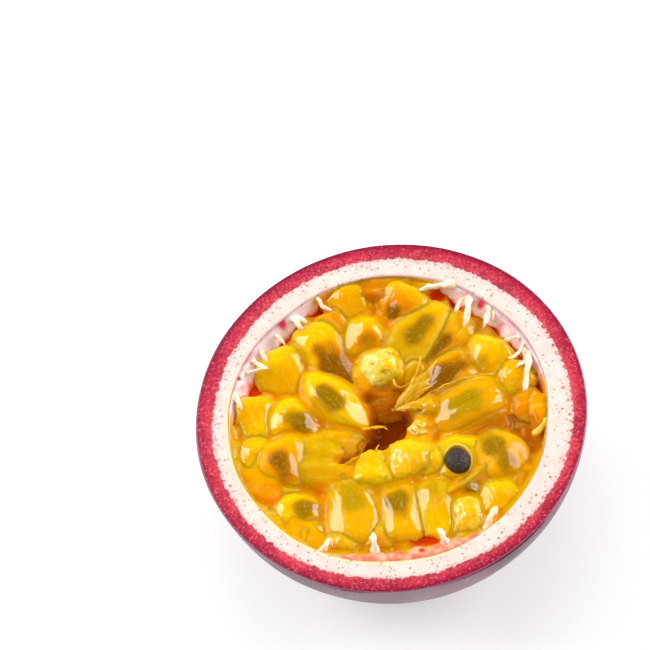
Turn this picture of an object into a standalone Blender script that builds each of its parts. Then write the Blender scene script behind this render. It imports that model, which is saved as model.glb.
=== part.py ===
"""Half of a purple passion fruit, cut across and resting on a small flat spot with its cut face up.

Four solids nest in each other: the red rind, the white pith, the thin pink lining with its three
placental ridges, and the pulp, whose top is the uneven heap of juice sacs round a narrow hollow.

Blender 4.5. Metres, +Z up, origin under the middle of the fruit, on the surface it rests on.
"""

import math

import bmesh
import bpy

MM = 0.001  # every length below is in millimetres, and becomes metres as a mesh is made

# The whole fruit is a spheroid. The cut is a little below its equator.
CUT_HEIGHT = 27.0
EQUATOR_HEIGHT = 28.8
EQUATOR_RADIUS = 29.1
POLE_DEPTH = 29.5  # from the equator down to the end that the flat spot takes off
OVALNESS = 0.004  # how much wider than round the fruit is along OVAL_HEADING, as a share
OVAL_HEADING = 17.0

# Layers of the wall, each measured inwards from the skin
GAP = 0.3  # free space between one layer and the next
RIND_THICKNESS = 2.8
PITH_INNER_DEPTH = 5.2
LINING_INNER_DEPTH = 6.0
DEEPEST_LAYER = 12.0  # no layer lies deeper than this

# The cavity sits off the axis, so the wall is thicker on the far side
CAVITY_SHIFT = 0.54
CAVITY_HEADING = 226.0
CAVITY_SHIFT_RISE = 8.0  # the shift fades in over this height above the cavity's bottom

# Three placental ridges run down the lining, at these headings in degrees from +X
PLACENTAS = (33.0, 140.0, 268.0)
PLACENTA_INNER = 12.0  # degrees each way over which a ridge keeps its full height
PLACENTA_OUTER = 36.0  # degrees each way to where it has gone
PLACENTA_BULGE = 1.5
PLACENTA_AT_CUT = 0.35  # share of the bulge that a ridge still has at the cut
PLACENTA_DROP = 4.0  # how far below the cut a ridge stands out most
PLACENTA_REACH = 9.0  # how far it goes on below that

# Levels of the juice and soft pulp between the sacs, over the cut face, so below it they are negative
BED_LEVEL = -3.0
SHORE_LEVEL = -0.6  # at the wall, between the placental ridges
SHORE_DROP = 1.9  # how much lower it is at a ridge
SHORE_WIDTH = 7.0
HEAP_LIMIT = -0.1  # no sac stands higher
EDGE_WIDTH = 1.0  # the heap starts this far in from its own edge

# The hollow between the sacs: x and y of its middle, half length, half width, heading and level
HOLLOWS = (
    (0.3, -1.1, 3.0, 1.8, 48.0, -6.0),
    (-2.8, -3.0, 3.2, 1.7, 12.0, -6.0),
    (-6.4, -4.8, 2.6, 1.2, 16.0, -5.0),
    (-0.6, 2.4, 3.6, 2.4, 20.0, -5.2),
)
HOLLOW_SLOPE = 1.4  # how steeply its sides fall

# Each juice sac that shows: x and y of its wall end and of its tip, width, level of its top,
# and how much lower its tip is than its wall end
SACS = (
    # upper left
    (-10.0, 18.3, -4.4, 3.8, 6.2, -1.1, 2.8),
    (-16.2, 15.2, -13.2, 6.4, 7.6, -0.8, 1.8),
    (-11.0, 9.4, -3.6, -0.4, 3.8, -0.2, 1.4),
    (-17.4, 4.6, -9.8, -0.6, 5.4, -0.6, 0.8),
    (-14.0, -1.0, -4.4, -1.5, 3.6, -1.5, 0.8),
    (-20.9, 7.6, -20.4, -0.2, 5.2, -0.9, 0.2),
    (-23.2, -0.8, -18.4, -3.8, 5.2, -0.8, 0.3),
    # lower left
    (-17.5, 0.6, -15.3, -8.8, 6.8, -0.2, 0.7),
    (-12.6, -2.8, -9.2, -3.8, 3.6, -1.3, 0.5),
    (-13.0, -5.6, -10.6, -8.0, 4.4, -1.3, 0.6),
    (-21.4, -6.4, -14.2, -9.6, 5.0, -1.6, 0.3),
    (-19.6, -11.8, -12.4, -12.6, 5.2, -1.0, 0.4),
    (-16.6, -16.6, -12.6, -16.0, 5.2, -1.3, 0.2),
    (-21.0, -9.8, -17.0, -15.2, 3.8, -1.6, 0.0),
    # bottom
    (-7.6, -19.6, -8.2, -7.2, 6.8, -0.3, 0.6),
    (-10.6, -19.4, -9.4, -16.0, 3.6, -1.0, 0.0),
    (-1.2, -20.0, -1.0, -10.0, 6.0, -0.4, 0.2),
    (-4.8, -20.2, -4.6, -16.4, 3.6, -1.2, 0.0),
    (-4.2, -9.8, -3.4, -5.2, 5.4, -0.4, 0.7),
    (-8.0, -8.4, -6.4, -7.2, 3.0, -1.3, 0.3),
    (2.0, -9.4, 0.4, -4.4, 6.2, -0.3, 0.8),
    (5.6, -10.2, 4.4, -6.0, 3.4, -0.9, 0.6),
    (4.2, -20.4, 3.9, -10.8, 4.8, -0.6, 0.0),
    (8.5, -12.2, 8.4, -4.6, 7.4, -0.4, 0.6),
    (8.0, -20.4, 8.0, -14.8, 3.4, -0.5, 0.0),
    (13.4, -18.2, 12.6, -12.9, 5.0, -0.6, 0.0),
    (17.4, -15.2, 16.2, -12.4, 4.4, -1.4, 0.0),
    (15.9, -13.0, 12.5, -5.0, 6.0, -0.2, 0.8),
    # right
    (21.2, -4.6, 16.4, -4.4, 4.2, -2.4, 0.3),
    (20.4, -9.0, 18.4, -6.6, 4.2, -2.9, 0.0),
    (17.0, 1.2, 5.0, -1.3, 6.8, -0.2, 1.4),
    (20.8, 3.4, 17.2, 1.6, 4.8, -0.9, 0.0),
    (22.4, -1.4, 17.4, -1.7, 5.0, -1.5, 0.0),
    (17.0, -3.8, 6.6, -4.0, 3.2, -1.8, 0.4),
    # upper right
    (13.6, 7.0, 2.6, 2.4, 5.6, -1.2, 1.5),
    (18.2, 9.2, 13.2, 4.2, 6.0, -0.6, 1.2),
    (17.2, 12.4, 12.0, 10.4, 4.8, -1.9, 0.2),
    (14.0, 14.8, 4.4, 6.2, 5.8, -1.1, 1.8),
    (11.4, 17.2, 1.4, 9.8, 6.6, -0.4, 1.2),
    (1.2, 8.4, -3.2, 9.0, 2.4, -0.5, 0.0),
    (-1.8, 17.2, -1.6, 11.2, 6.2, -0.8, 1.0),
    (-3.6, 22.6, -2.8, 18.0, 5.6, -0.3, 0.8),
    (-6.4, 19.4, -4.8, 14.8, 4.2, -1.0, 0.8),
    (6.4, 20.6, 3.0, 17.2, 6.4, -0.1, 1.0),
    (4.8, 15.0, 0.8, 14.4, 3.6, -2.4, 0.4),
)
SAC_MARGIN = 1.2  # how far a sac reaches past its ends and sides, under its neighbours
SAC_RISE = 0.22  # how far a sac's top stands above its own edge, as a share of its whole width
SAC_TAPER = 0.15  # how much narrower its tip is, and wider its wall end
SAC_LEAN_LIMIT = 1.2  # past its ends, in half lengths, a sac leans no further
SAC_CROWN_DROP = 0.15  # share of the dip that the middle of a sac has lost already
SAC_BLEND = 0.3  # how widely neighbouring sacs and the bed melt into each other

# How finely the solids are faceted
WALL_SEGMENTS = 48
PULP_SEGMENTS = 84
BOWL_RINGS = 8
PULP_BOWL_RINGS = 5
PULP_TOP_RINGS = 20
MERGE_DISTANCE = 0.001  # joins the points that a turned outline has on the axis and at its seam
SHARP_ANGLE = 40.0
DEPTH_STEPS = 30  # halvings in the search for a point's depth


def smooth_step(value):
    """0 below 0, 1 above 1, and a smooth rise between."""
    t = min(1.0, max(0.0, value))
    return t * t * (3.0 - 2.0 * t)


def turn_between(heading, other):
    """Degrees between two headings, from 0 to 180."""
    return abs((heading - other + 180.0) % 360.0 - 180.0)


def placenta_share(heading):
    """1 on the middle of a placental ridge, falling smoothly to 0 beside it."""
    nearest = min(turn_between(heading, placenta) for placenta in PLACENTAS)
    return smooth_step((PLACENTA_OUTER - nearest) / (PLACENTA_OUTER - PLACENTA_INNER))


def bulge(heading, height):
    """How far a placental ridge stands in from the lining, at a height above the foot."""
    below_cut = CUT_HEIGHT - height
    if below_cut < PLACENTA_DROP:
        rise = smooth_step(below_cut / PLACENTA_DROP)
    else:
        rise = smooth_step(1.0 - (below_cut - PLACENTA_DROP) / PLACENTA_REACH)
    return PLACENTA_BULGE * placenta_share(heading) * (PLACENTA_AT_CUT + (1.0 - PLACENTA_AT_CUT) * rise)


def outline(heading):
    """The fruit isn't quite round: a share of its radius, by heading."""
    angle = math.radians(heading)
    return 1.0 + OVALNESS * math.cos(2.0 * (angle - math.radians(OVAL_HEADING)))


def polar_angle(depth, height):
    """Angle from straight down, on the spheroid that lies this deep under the skin, of a height on it."""
    return math.acos(min(1.0, (EQUATOR_HEIGHT - height) / (POLE_DEPTH - depth)))


def bowl_radius(depth, height):
    """Radius at a height of the spheroid that lies this deep under the skin."""
    return (EQUATOR_RADIUS - depth) * math.sin(polar_angle(depth, height))


def bowl_profile(depth, first_height, last_height, rings):
    """Points (radius, height) along the spheroid that lies this deep under the skin, going up."""
    first = polar_angle(depth, first_height)
    last = polar_angle(depth, last_height)
    points = []
    for ring in range(rings + 1):
        angle = first + (last - first) * ring / rings
        height = EQUATOR_HEIGHT - (POLE_DEPTH - depth) * math.cos(angle)
        points.append(((EQUATOR_RADIUS - depth) * math.sin(angle), height))
    return points


def pole_height(depth):
    """Height of the lowest point of the spheroid that lies this deep under the skin."""
    return EQUATOR_HEIGHT - (POLE_DEPTH - depth)


def turned(profile, segments):
    """A closed bmesh turned round +Z from (radius, height) points that start and end on the axis."""
    bm = bmesh.new()
    points = [bm.verts.new((radius, 0.0, height)) for radius, height in profile]
    edges = [bm.edges.new(pair) for pair in zip(points, points[1:])]
    bmesh.ops.spin(
        bm,
        geom=points + edges,
        axis=(0.0, 0.0, 1.0),
        cent=(0.0, 0.0, 0.0),
        steps=segments,
        angle=2.0 * math.pi,
    )
    bmesh.ops.remove_doubles(bm, verts=bm.verts, dist=MERGE_DISTANCE)
    return bm


def heading_of(vertex):
    """Degrees from +X, counter-clockwise, of the side of the axis that a vertex is on."""
    return math.degrees(math.atan2(vertex.co.y, vertex.co.x))


def move_in(vertex, distance):
    """Moves a vertex straight towards the axis."""
    radius = math.hypot(vertex.co.x, vertex.co.y)
    if radius > distance > 0.0:
        share = (radius - distance) / radius
        vertex.co.x *= share
        vertex.co.y *= share


def finish(name, bm, colour, roughness):
    """Makes the bmesh an object in metres, with its faces outwards and its own material."""
    for vertex in bm.verts:
        share = outline(heading_of(vertex))
        vertex.co.x *= share
        vertex.co.y *= share
    bmesh.ops.scale(bm, vec=(MM, MM, MM), verts=bm.verts)
    bmesh.ops.recalc_face_normals(bm, faces=bm.faces)
    mesh = bpy.data.meshes.new(name)
    bm.to_mesh(mesh)
    bm.free()
    mesh.shade_smooth()
    mesh.set_sharp_from_angle(angle=math.radians(SHARP_ANGLE))
    material = bpy.data.materials.new(name)
    material.use_nodes = True
    shader = material.node_tree.nodes["Principled BSDF"]
    shader.inputs["Base Color"].default_value = (*colour, 1.0)
    shader.inputs["Roughness"].default_value = roughness
    mesh.materials.append(material)
    node = bpy.data.objects.new(name, mesh)
    bpy.context.scene.collection.objects.link(node)


def make_rind():
    """The purple skin and the red flesh under it, with the flat spot at the bottom."""
    outer = bowl_profile(0.0, 0.0, CUT_HEIGHT, BOWL_RINGS + 2)
    inner = bowl_profile(RIND_THICKNESS, pole_height(RIND_THICKNESS), CUT_HEIGHT, BOWL_RINGS)
    bm = turned([(0.0, 0.0), *outer, *reversed(inner)], WALL_SEGMENTS)
    finish("rind", bm, (0.42, 0.03, 0.09), 0.4)


def shift_cavity(vertex):
    """Moves a vertex of the cavity's wall, or of what lies in it, as the cavity's centre is off the axis."""
    shift = CAVITY_SHIFT * smooth_step((vertex.co.z - pole_height(PITH_INNER_DEPTH)) / CAVITY_SHIFT_RISE)
    vertex.co.x += shift * math.cos(math.radians(CAVITY_HEADING))
    vertex.co.y += shift * math.sin(math.radians(CAVITY_HEADING))


def make_pith():
    """The white layer. Its outer side follows the rind and its inner side the cavity."""
    outer_depth = RIND_THICKNESS + GAP
    outer = bowl_profile(outer_depth, pole_height(outer_depth), CUT_HEIGHT, BOWL_RINGS)
    inner = bowl_profile(PITH_INNER_DEPTH, pole_height(PITH_INNER_DEPTH), CUT_HEIGHT, BOWL_RINGS)
    bm = turned([*outer, *reversed(inner)], WALL_SEGMENTS)
    for vertex in bm.verts:
        if is_inner(vertex, outer_depth, PITH_INNER_DEPTH):
            shift_cavity(vertex)
    finish("pith", bm, (0.95, 0.86, 0.76), 0.6)


def spheroid_depth(vertex):
    """How deep under the skin a vertex lies, before the cavity is shifted."""
    radius = math.hypot(vertex.co.x, vertex.co.y)
    below = EQUATOR_HEIGHT - vertex.co.z
    low, high = 0.0, DEEPEST_LAYER
    for _ in range(DEPTH_STEPS):
        middle = (low + high) / 2.0
        inside = (radius / (EQUATOR_RADIUS - middle)) ** 2 + (below / (POLE_DEPTH - middle)) ** 2
        if inside < 1.0:
            low = middle
        else:
            high = middle
    return low


def is_inner(vertex, outer_depth, inner_depth):
    """True for a vertex nearer to the layer's inner side than to its outer side."""
    return spheroid_depth(vertex) > (outer_depth + inner_depth) / 2.0


def make_lining():
    """The thin pink layer round the cavity, thicker where the placental ridges run down it."""
    outer_depth = PITH_INNER_DEPTH + GAP
    outer = bowl_profile(outer_depth, pole_height(outer_depth), CUT_HEIGHT - GAP, BOWL_RINGS)
    inner = bowl_profile(LINING_INNER_DEPTH, pole_height(LINING_INNER_DEPTH), CUT_HEIGHT - GAP, BOWL_RINGS)
    bm = turned([*outer, *reversed(inner)], WALL_SEGMENTS)
    for vertex in bm.verts:
        if is_inner(vertex, outer_depth, LINING_INNER_DEPTH):
            move_in(vertex, bulge(heading_of(vertex), vertex.co.z))
        shift_cavity(vertex)
    finish("lining", bm, (0.85, 0.42, 0.42), 0.35)


def sac_top(sac, x, y):
    """Level of a sac's rounded upper side over a point, from the cut face. It falls away beside the sac."""
    wall_x, wall_y, tip_x, tip_y, width, top, dip = sac
    length = math.hypot(tip_x - wall_x, tip_y - wall_y)
    along_x = (tip_x - wall_x) / length
    along_y = (tip_y - wall_y) / length
    from_x = x - (wall_x + tip_x) / 2.0
    from_y = y - (wall_y + tip_y) / 2.0
    along = (from_x * along_x + from_y * along_y) / (length / 2.0 + SAC_MARGIN)
    taper = 1.0 - SAC_TAPER * min(1.0, max(-1.0, along))
    whole_width = width + 2.0 * SAC_MARGIN
    across = (from_y * along_x - from_x * along_y) / (whole_width / 2.0 * taper)
    lean = dip * (SAC_CROWN_DROP + 0.5 * min(SAC_LEAN_LIMIT, max(-SAC_LEAN_LIMIT, along)))
    return top - lean - SAC_RISE * whole_width * (along**4 + across * across)


def into_hollows(level, x, y):
    """The level of a point, let down to the floor of the hollow where the point lies in it."""
    for middle_x, middle_y, half_length, half_width, heading, floor in HOLLOWS:
        turn = math.radians(heading)
        along = ((x - middle_x) * math.cos(turn) + (y - middle_y) * math.sin(turn)) / half_length
        across = ((y - middle_y) * math.cos(turn) - (x - middle_x) * math.sin(turn)) / half_width
        share = smooth_step(HOLLOW_SLOPE * (1.0 - math.hypot(along, across)))
        level += min(0.0, floor - level) * share
    return level


def shore_level(heading):
    """Level of the juice at the cavity's wall. It is high between the placental ridges."""
    return SHORE_LEVEL - SHORE_DROP * placenta_share(heading)


def bed_level(x, y, wall_radius):
    """Level of the juice and soft pulp from the cut face, rising towards the wall."""
    near_wall = smooth_step(1.0 - (wall_radius - math.hypot(x, y)) / SHORE_WIDTH)
    heading = math.degrees(math.atan2(y, x))
    return BED_LEVEL + (shore_level(heading) - BED_LEVEL) * near_wall


def pulp_level(x, y, wall_radius):
    """Level of the pulp's top from the cut face, with the sacs standing out of the bed round the hollow."""
    levels = [bed_level(x, y, wall_radius), *(sac_top(sac, x, y) for sac in SACS)]
    highest = max(levels)
    near = sum(math.exp((level - highest) / SAC_BLEND) for level in levels)
    heap = min(HEAP_LIMIT, highest + SAC_BLEND * math.log(near))
    return into_hollows(heap, x, y)


def make_pulp():
    """The juice sacs and the juice between them, as one heap that fills the cavity."""
    depth = LINING_INNER_DEPTH + GAP
    side = bowl_profile(depth, pole_height(depth), CUT_HEIGHT + SHORE_LEVEL, PULP_BOWL_RINGS)
    edge_radius, edge_height = side[-1]
    shares = [1.0 - ring / PULP_TOP_RINGS for ring in range(1, PULP_TOP_RINGS + 1)]
    top = [(edge_radius * share, edge_height) for share in shares]
    bm = turned([*side, *top], PULP_SEGMENTS)
    for vertex in bm.verts:
        heading = heading_of(vertex)
        if vertex.co.z < edge_height - MERGE_DISTANCE:
            move_in(vertex, bulge(heading, vertex.co.z))
            shift_cavity(vertex)
            continue
        # the flat top takes the edge's real outline and level, and then the heap's
        shore = shore_level(heading)
        height = CUT_HEIGHT + shore
        wall_radius = bowl_radius(depth, height) - bulge(heading, height)
        out = math.hypot(vertex.co.x, vertex.co.y) / edge_radius
        vertex.co.x *= wall_radius / edge_radius
        vertex.co.y *= wall_radius / edge_radius
        shift_cavity(vertex)
        inside = smooth_step(wall_radius * (1.0 - out) / EDGE_WIDTH)
        vertex.co.z = height + (pulp_level(vertex.co.x, vertex.co.y, wall_radius) - shore) * inside
    finish("pulp", bm, (0.95, 0.55, 0.02), 0.2)


def main():
    for old in list(bpy.data.objects):
        bpy.data.objects.remove(old, do_unlink=True)
    make_rind()
    make_pith()
    make_lining()
    make_pulp()


main()
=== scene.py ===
import math
import random
import time

import bmesh
import bpy
import numpy as np
from mathutils import Matrix, Vector, noise
from mathutils.bvhtree import BVHTree


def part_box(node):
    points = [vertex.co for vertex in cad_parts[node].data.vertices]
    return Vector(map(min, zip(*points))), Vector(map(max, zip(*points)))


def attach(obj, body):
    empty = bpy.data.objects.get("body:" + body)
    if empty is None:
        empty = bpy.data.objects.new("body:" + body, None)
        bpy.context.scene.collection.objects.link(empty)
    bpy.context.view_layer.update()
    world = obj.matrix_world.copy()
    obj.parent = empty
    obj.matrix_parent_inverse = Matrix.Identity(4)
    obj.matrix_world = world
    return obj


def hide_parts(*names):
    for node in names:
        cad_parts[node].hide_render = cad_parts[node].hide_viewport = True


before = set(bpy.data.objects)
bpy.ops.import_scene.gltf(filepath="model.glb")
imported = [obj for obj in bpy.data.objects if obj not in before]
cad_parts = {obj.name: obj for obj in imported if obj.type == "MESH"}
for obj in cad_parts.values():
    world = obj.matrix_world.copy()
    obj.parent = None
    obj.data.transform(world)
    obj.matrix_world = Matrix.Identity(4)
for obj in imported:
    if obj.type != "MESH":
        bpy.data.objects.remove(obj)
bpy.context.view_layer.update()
startTime = time.time()
mm = 0.001  # lengths below are in millimetres, and a level is a height over the cut face


def report(stage):
    print(f"{time.time() - startTime:6.1f} s  {stage}")


rindLow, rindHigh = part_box("rind")

fruit = {
    "cut": rindHigh.z / mm,  # height of the cut face over the table
    "equator": rindHigh.z / mm + 1.8,  # height of the fruit's widest level
    "rimRadius": (rindHigh.x - rindLow.x) / mm / 2 - 0.04,
    "poleDepth": 29.5,  # from the widest level down to the end of the fruit
    "fleshDepth": 2.75,  # skin and red flesh together
    "pithDepth": 5.2,  # in from the skin to the cavity's wall
    "ovalness": 0.004,
    "ovalHeading": 17.0,
    "cavityShift": 0.54,  # the cavity lies off the middle, towards this heading
    "cavityHeading": 226.0,
    "placentas": ((33.0, 26.0), (140.0, 25.0), (268.0, 26.0)),  # heading and half width, degrees
}


# shapes round the fruit: an angle is in radians, a heading in degrees
def smoothStep(value):
    t = np.clip(value, 0.0, 1.0)
    return t * t * (3.0 - 2.0 * t)


def anglesRound(count):
    return np.arange(count) / count * 2.0 * math.pi


def turnBetween(heading, other):
    return np.abs((heading - other + 180.0) % 360.0 - 180.0)


def placentaShare(heading):
    shares = [smoothStep(1.45 - turnBetween(heading, at) / half) for at, half in fruit["placentas"]]
    return np.max(shares, axis=0)


def ovalShare(angle):
    return 1.0 + fruit["ovalness"] * np.cos(2.0 * (angle - math.radians(fruit["ovalHeading"])))


def wobble(angle, seed, size, waves=(3, 5, 8, 13)):
    # a smooth closed unevenness round the fruit
    rng = random.Random(seed)
    uneven = np.zeros_like(angle)
    for count in waves:
        uneven += np.cos(count * angle + rng.uniform(0.0, 6.28)) * rng.uniform(0.5, 1.0) / math.sqrt(count)
    return uneven * size


def ellipseReach(x, y, middle, halfLong, halfWide, heading):
    # 0 in the middle of a turned ellipse, 1 on its edge
    turn = math.radians(heading)
    fromX, fromY = x - middle[0], y - middle[1]
    along = (fromX * math.cos(turn) + fromY * math.sin(turn)) / halfLong
    across = (fromY * math.cos(turn) - fromX * math.sin(turn)) / halfWide
    return np.hypot(along, across)


def noiseOf(points, scale, seed):
    shift = Vector((seed * 7.13, seed * 3.71, seed * 5.37))
    return np.array([noise.noise(Vector(p) * scale + shift) for p in points])


# meshes and their attributes
def linkObject(name, data):
    made = bpy.data.objects.new(name, data)
    bpy.context.scene.collection.objects.link(made)
    return made


def makeObject(name, points, faces, material):
    mesh = bpy.data.meshes.new(name)
    mesh.from_pydata((np.asarray(points) * mm).tolist(), [], [tuple(int(i) for i in f) for f in faces])
    mesh.update()
    mesh.shade_smooth()
    mesh.materials.append(material)
    return linkObject(name, mesh)


def setAttribute(piece, name, values):
    # one value, a vector or a colour for each point
    values = np.asarray(values, dtype=np.float32)
    columns = 1 if values.ndim == 1 else values.shape[1]
    kind, field = {1: ("FLOAT", "value"), 3: ("FLOAT_VECTOR", "vector"), 4: ("FLOAT_COLOR", "color")}[columns]
    piece.data.attributes.new(name, kind, "POINT").data.foreach_set(field, values.ravel())


def solidColours(colours):
    return np.concatenate([colours, np.ones((len(colours), 1))], axis=1)


def ringFaces(rings, around):
    # quads between rings of points that go round +Z, each ring following the last
    faces = []
    for low in range(0, (rings - 1) * around, around):
        for k in range(around):
            nextK = (k + 1) % around
            faces.append((low + k, low + nextK, low + around + nextK, low + around + k))
    return faces


def closeFan(points, faces, ringStart, around, height):
    # closes a ring with a fan of triangles to one point on the fruit's axis
    points.append((0.0, 0.0, height))
    middle = len(points) - 1
    for k in range(around):
        faces.append((ringStart + k, ringStart + (k + 1) % around, middle))


def joinMeshes(parts):
    points, faces, start = [], [], 0
    for partPoints, partFaces in parts:
        points.append(partPoints)
        faces.append(partFaces + start)
        start += len(partPoints)
    return np.concatenate(points), np.concatenate(faces)


def fixNormals(piece):
    bm = bmesh.new()
    bm.from_mesh(piece.data)
    bmesh.ops.recalc_face_normals(bm, faces=bm.faces)
    bm.to_mesh(piece.data)
    bm.free()


def fixPiece(piece, slotName, *nodes):
    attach(piece, "root")
    if nodes:
        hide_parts(*nodes)


# materials
def linear(red, green, blue):
    # a colour as an eye reads it, 0 to 255, for a shader socket
    parts = []
    for value in (red, green, blue):
        share = value / 255.0
        parts.append(share / 12.92 if share <= 0.04045 else ((share + 0.055) / 1.055) ** 2.4)
    return (*parts, 1.0)


def newMaterial(name):
    material = bpy.data.materials.new(name)
    material.use_nodes = True
    tree = material.node_tree
    return material, tree, tree.nodes["Principled BSDF"]


def feed(tree, node, inputs):
    # each input takes a link or a plain value
    for key, value in inputs.items():
        if isinstance(value, bpy.types.NodeSocket):
            tree.links.new(value, node.inputs[key])
        else:
            node.inputs[key].default_value = value


def addNode(tree, kind, inputs=None, **settings):
    made = tree.nodes.new(kind)
    for key, value in settings.items():
        setattr(made, key, value)
    feed(tree, made, inputs or {})
    return made


def coordinates(tree):
    return addNode(tree, "ShaderNodeTexCoord").outputs["Object"]


def coordinateAlong(tree, axis):
    return addNode(tree, "ShaderNodeSeparateXYZ", {"Vector": coordinates(tree)}).outputs[axis]


def noiseAt(tree, scale, detail=2.0, roughness=0.5, distortion=0.0, vector=None):
    made = addNode(tree, "ShaderNodeTexNoise", {
        "Vector": vector or coordinates(tree), "Scale": scale, "Detail": detail,
        "Roughness": roughness, "Distortion": distortion})
    return made.outputs["Fac"]


def cellsAt(tree, scale, dimensions="3D"):
    # scattered cells: the distance from each cell's middle, and three random values for each cell
    made = addNode(tree, "ShaderNodeTexVoronoi", {
        "Vector": coordinates(tree), "Scale": scale}, voronoi_dimensions=dimensions)
    return made.outputs["Distance"], addNode(
        tree, "ShaderNodeSeparateColor", {"Color": made.outputs["Color"]}).outputs


def mathNode(tree, operation, first, second=0.0, clamp=False):
    made = addNode(tree, "ShaderNodeMath", {0: first, 1: second}, operation=operation, use_clamp=clamp)
    return made.outputs[0]


def product(tree, first, *others):
    for other in others:
        first = mathNode(tree, "MULTIPLY", first, other)
    return first


def total(tree, first, *others):
    for other in others:
        first = mathNode(tree, "ADD", first, other)
    return first


def less(tree, first, second, clamp=False):
    return mathNode(tree, "SUBTRACT", first, second, clamp)


def vectorNode(tree, operation, inputs):
    return addNode(tree, "ShaderNodeVectorMath", inputs, operation=operation).outputs


def between(tree, value, low, high, toLow=0.0, toHigh=1.0):
    made = addNode(tree, "ShaderNodeMapRange", {
        "Value": value, "From Min": low, "From Max": high, "To Min": toLow, "To Max": toHigh},
        interpolation_type="SMOOTHSTEP")
    return made.outputs[0]


def mixColours(tree, share, first, second, blend="MIX"):
    return addNode(tree, "ShaderNodeMix", {0: share, 6: first, 7: second},
                   data_type="RGBA", blend_type=blend).outputs[2]


def stained(tree, colour, tone, field, low, high, strength=1.0):
    # a tone over a colour: nothing of it where the field is low, its full strength where the field is high
    return mixColours(tree, between(tree, field, low, high, 0.0, strength), colour, tone)


def rampOf(tree, value, stops):
    made = addNode(tree, "ShaderNodeValToRGB", {"Fac": value})
    ramp = made.color_ramp
    while len(ramp.elements) < len(stops):
        ramp.elements.new(0.5)
    for element, (place, colour) in zip(ramp.elements, stops):
        element.position = place
        element.color = colour
    return made.outputs["Color"]


def attributeOf(tree, name, output="Fac"):
    return addNode(tree, "ShaderNodeAttribute", attribute_name=name).outputs[output]


def bumpOf(tree, height, strength, distance):
    made = addNode(tree, "ShaderNodeBump", {"Height": height, "Strength": strength, "Distance": distance})
    return made.outputs["Normal"]


studio = {
    "elevation": 62.3,  # degrees above the cut face
    "roll": 10.74,
    "distance": 380.0,
    "lens": 141.75,
    "aimAcross": -9.63,  # where the middle of the view lies from the middle of the cut face
    "aimUp": 12.80,
    "world": 0.44,
    # soft boxes: direction, distance, side, radiance, and whether wet places mirror it
    "softBoxes": {
        "leftBox": ((-0.73, 0.41, 0.53), 1200.0, 836.0, 5.4, True),
        "rightBox": ((0.887, 0.208, 0.425), 1200.0, 836.0, 5.4, True),
        "topBox": ((0.1, 0.35, 1.0), 1500.0, 780.0, 1.6, False),
    },
    "floor": 3000.0,  # from the floor's middle to its edges
    "floorGlow": 0.22,
}


def makeWorld():
    world = bpy.data.worlds.new("studio")
    world.use_nodes = True
    feed(world.node_tree, world.node_tree.nodes["Background"], {
        "Color": (1.0, 1.0, 1.0, 1.0), "Strength": studio["world"]})
    world.cycles_visibility.glossy = False  # wet skins mirror the soft boxes only
    bpy.context.scene.world = world
    bpy.context.scene.view_settings.view_transform = "Standard"


def makeCamera(target):
    elevation = math.radians(studio["elevation"])
    roll = math.radians(studio["roll"])
    towards = Vector((0.0, -math.cos(elevation), math.sin(elevation)))
    flatUp = Vector((0.0, math.sin(elevation), math.cos(elevation)))
    across = Vector((1.0, 0.0, 0.0))
    right = across * math.cos(roll) - flatUp * math.sin(roll)
    up = across * math.sin(roll) + flatUp * math.cos(roll)
    place = target + towards * studio["distance"] * mm
    aim = target + right * studio["aimAcross"] * mm + up * studio["aimUp"] * mm
    back = (place - aim).normalized()
    side = up.cross(back).normalized()
    top = back.cross(side)
    camera = linkObject("camera", bpy.data.cameras.new("camera"))
    camera.data.lens = studio["lens"]
    camera.data.clip_start = 0.01
    camera.matrix_world = Matrix.Translation(place) @ Matrix((side, top, back)).transposed().to_4x4()
    bpy.context.scene.camera = camera


def makeSoftBoxes(target):
    for name, (direction, distance, side, radiance, mirrored) in studio["softBoxes"].items():
        lamp = bpy.data.lights.new(name, "AREA")
        lamp.shape = "SQUARE"
        lamp.size = side * mm
        lamp.energy = radiance * math.pi * (side * mm) ** 2
        holder = linkObject(name, lamp)
        way = Vector(direction).normalized()
        holder.location = target + way * distance * mm
        holder.rotation_euler = way.to_track_quat("Z", "Y").to_euler()
        holder.visible_glossy = mirrored


def makeFloor():
    mesh = bpy.data.meshes.new("floor")
    bm = bmesh.new()
    bmesh.ops.create_grid(bm, x_segments=1, y_segments=1, size=studio["floor"] * mm)
    bm.to_mesh(mesh)
    bm.free()
    material, tree, shader = newMaterial("floor")
    grain = noiseAt(tree, 900.0, 3.0)
    feed(tree, shader, {
        "Base Color": mixColours(tree, grain, linear(250, 250, 250), linear(253, 253, 253)), "Roughness": 0.8,
        "Emission Color": (1.0, 1.0, 1.0, 1.0), "Emission Strength": studio["floorGlow"]})
    mesh.materials.append(material)
    linkObject("floor", mesh)


cutMiddle = Vector((0.0, 0.0, fruit["cut"])) * mm
makeWorld()
makeCamera(cutMiddle)
makeSoftBoxes(cutMiddle)
makeFloor()
report("studio")

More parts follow.
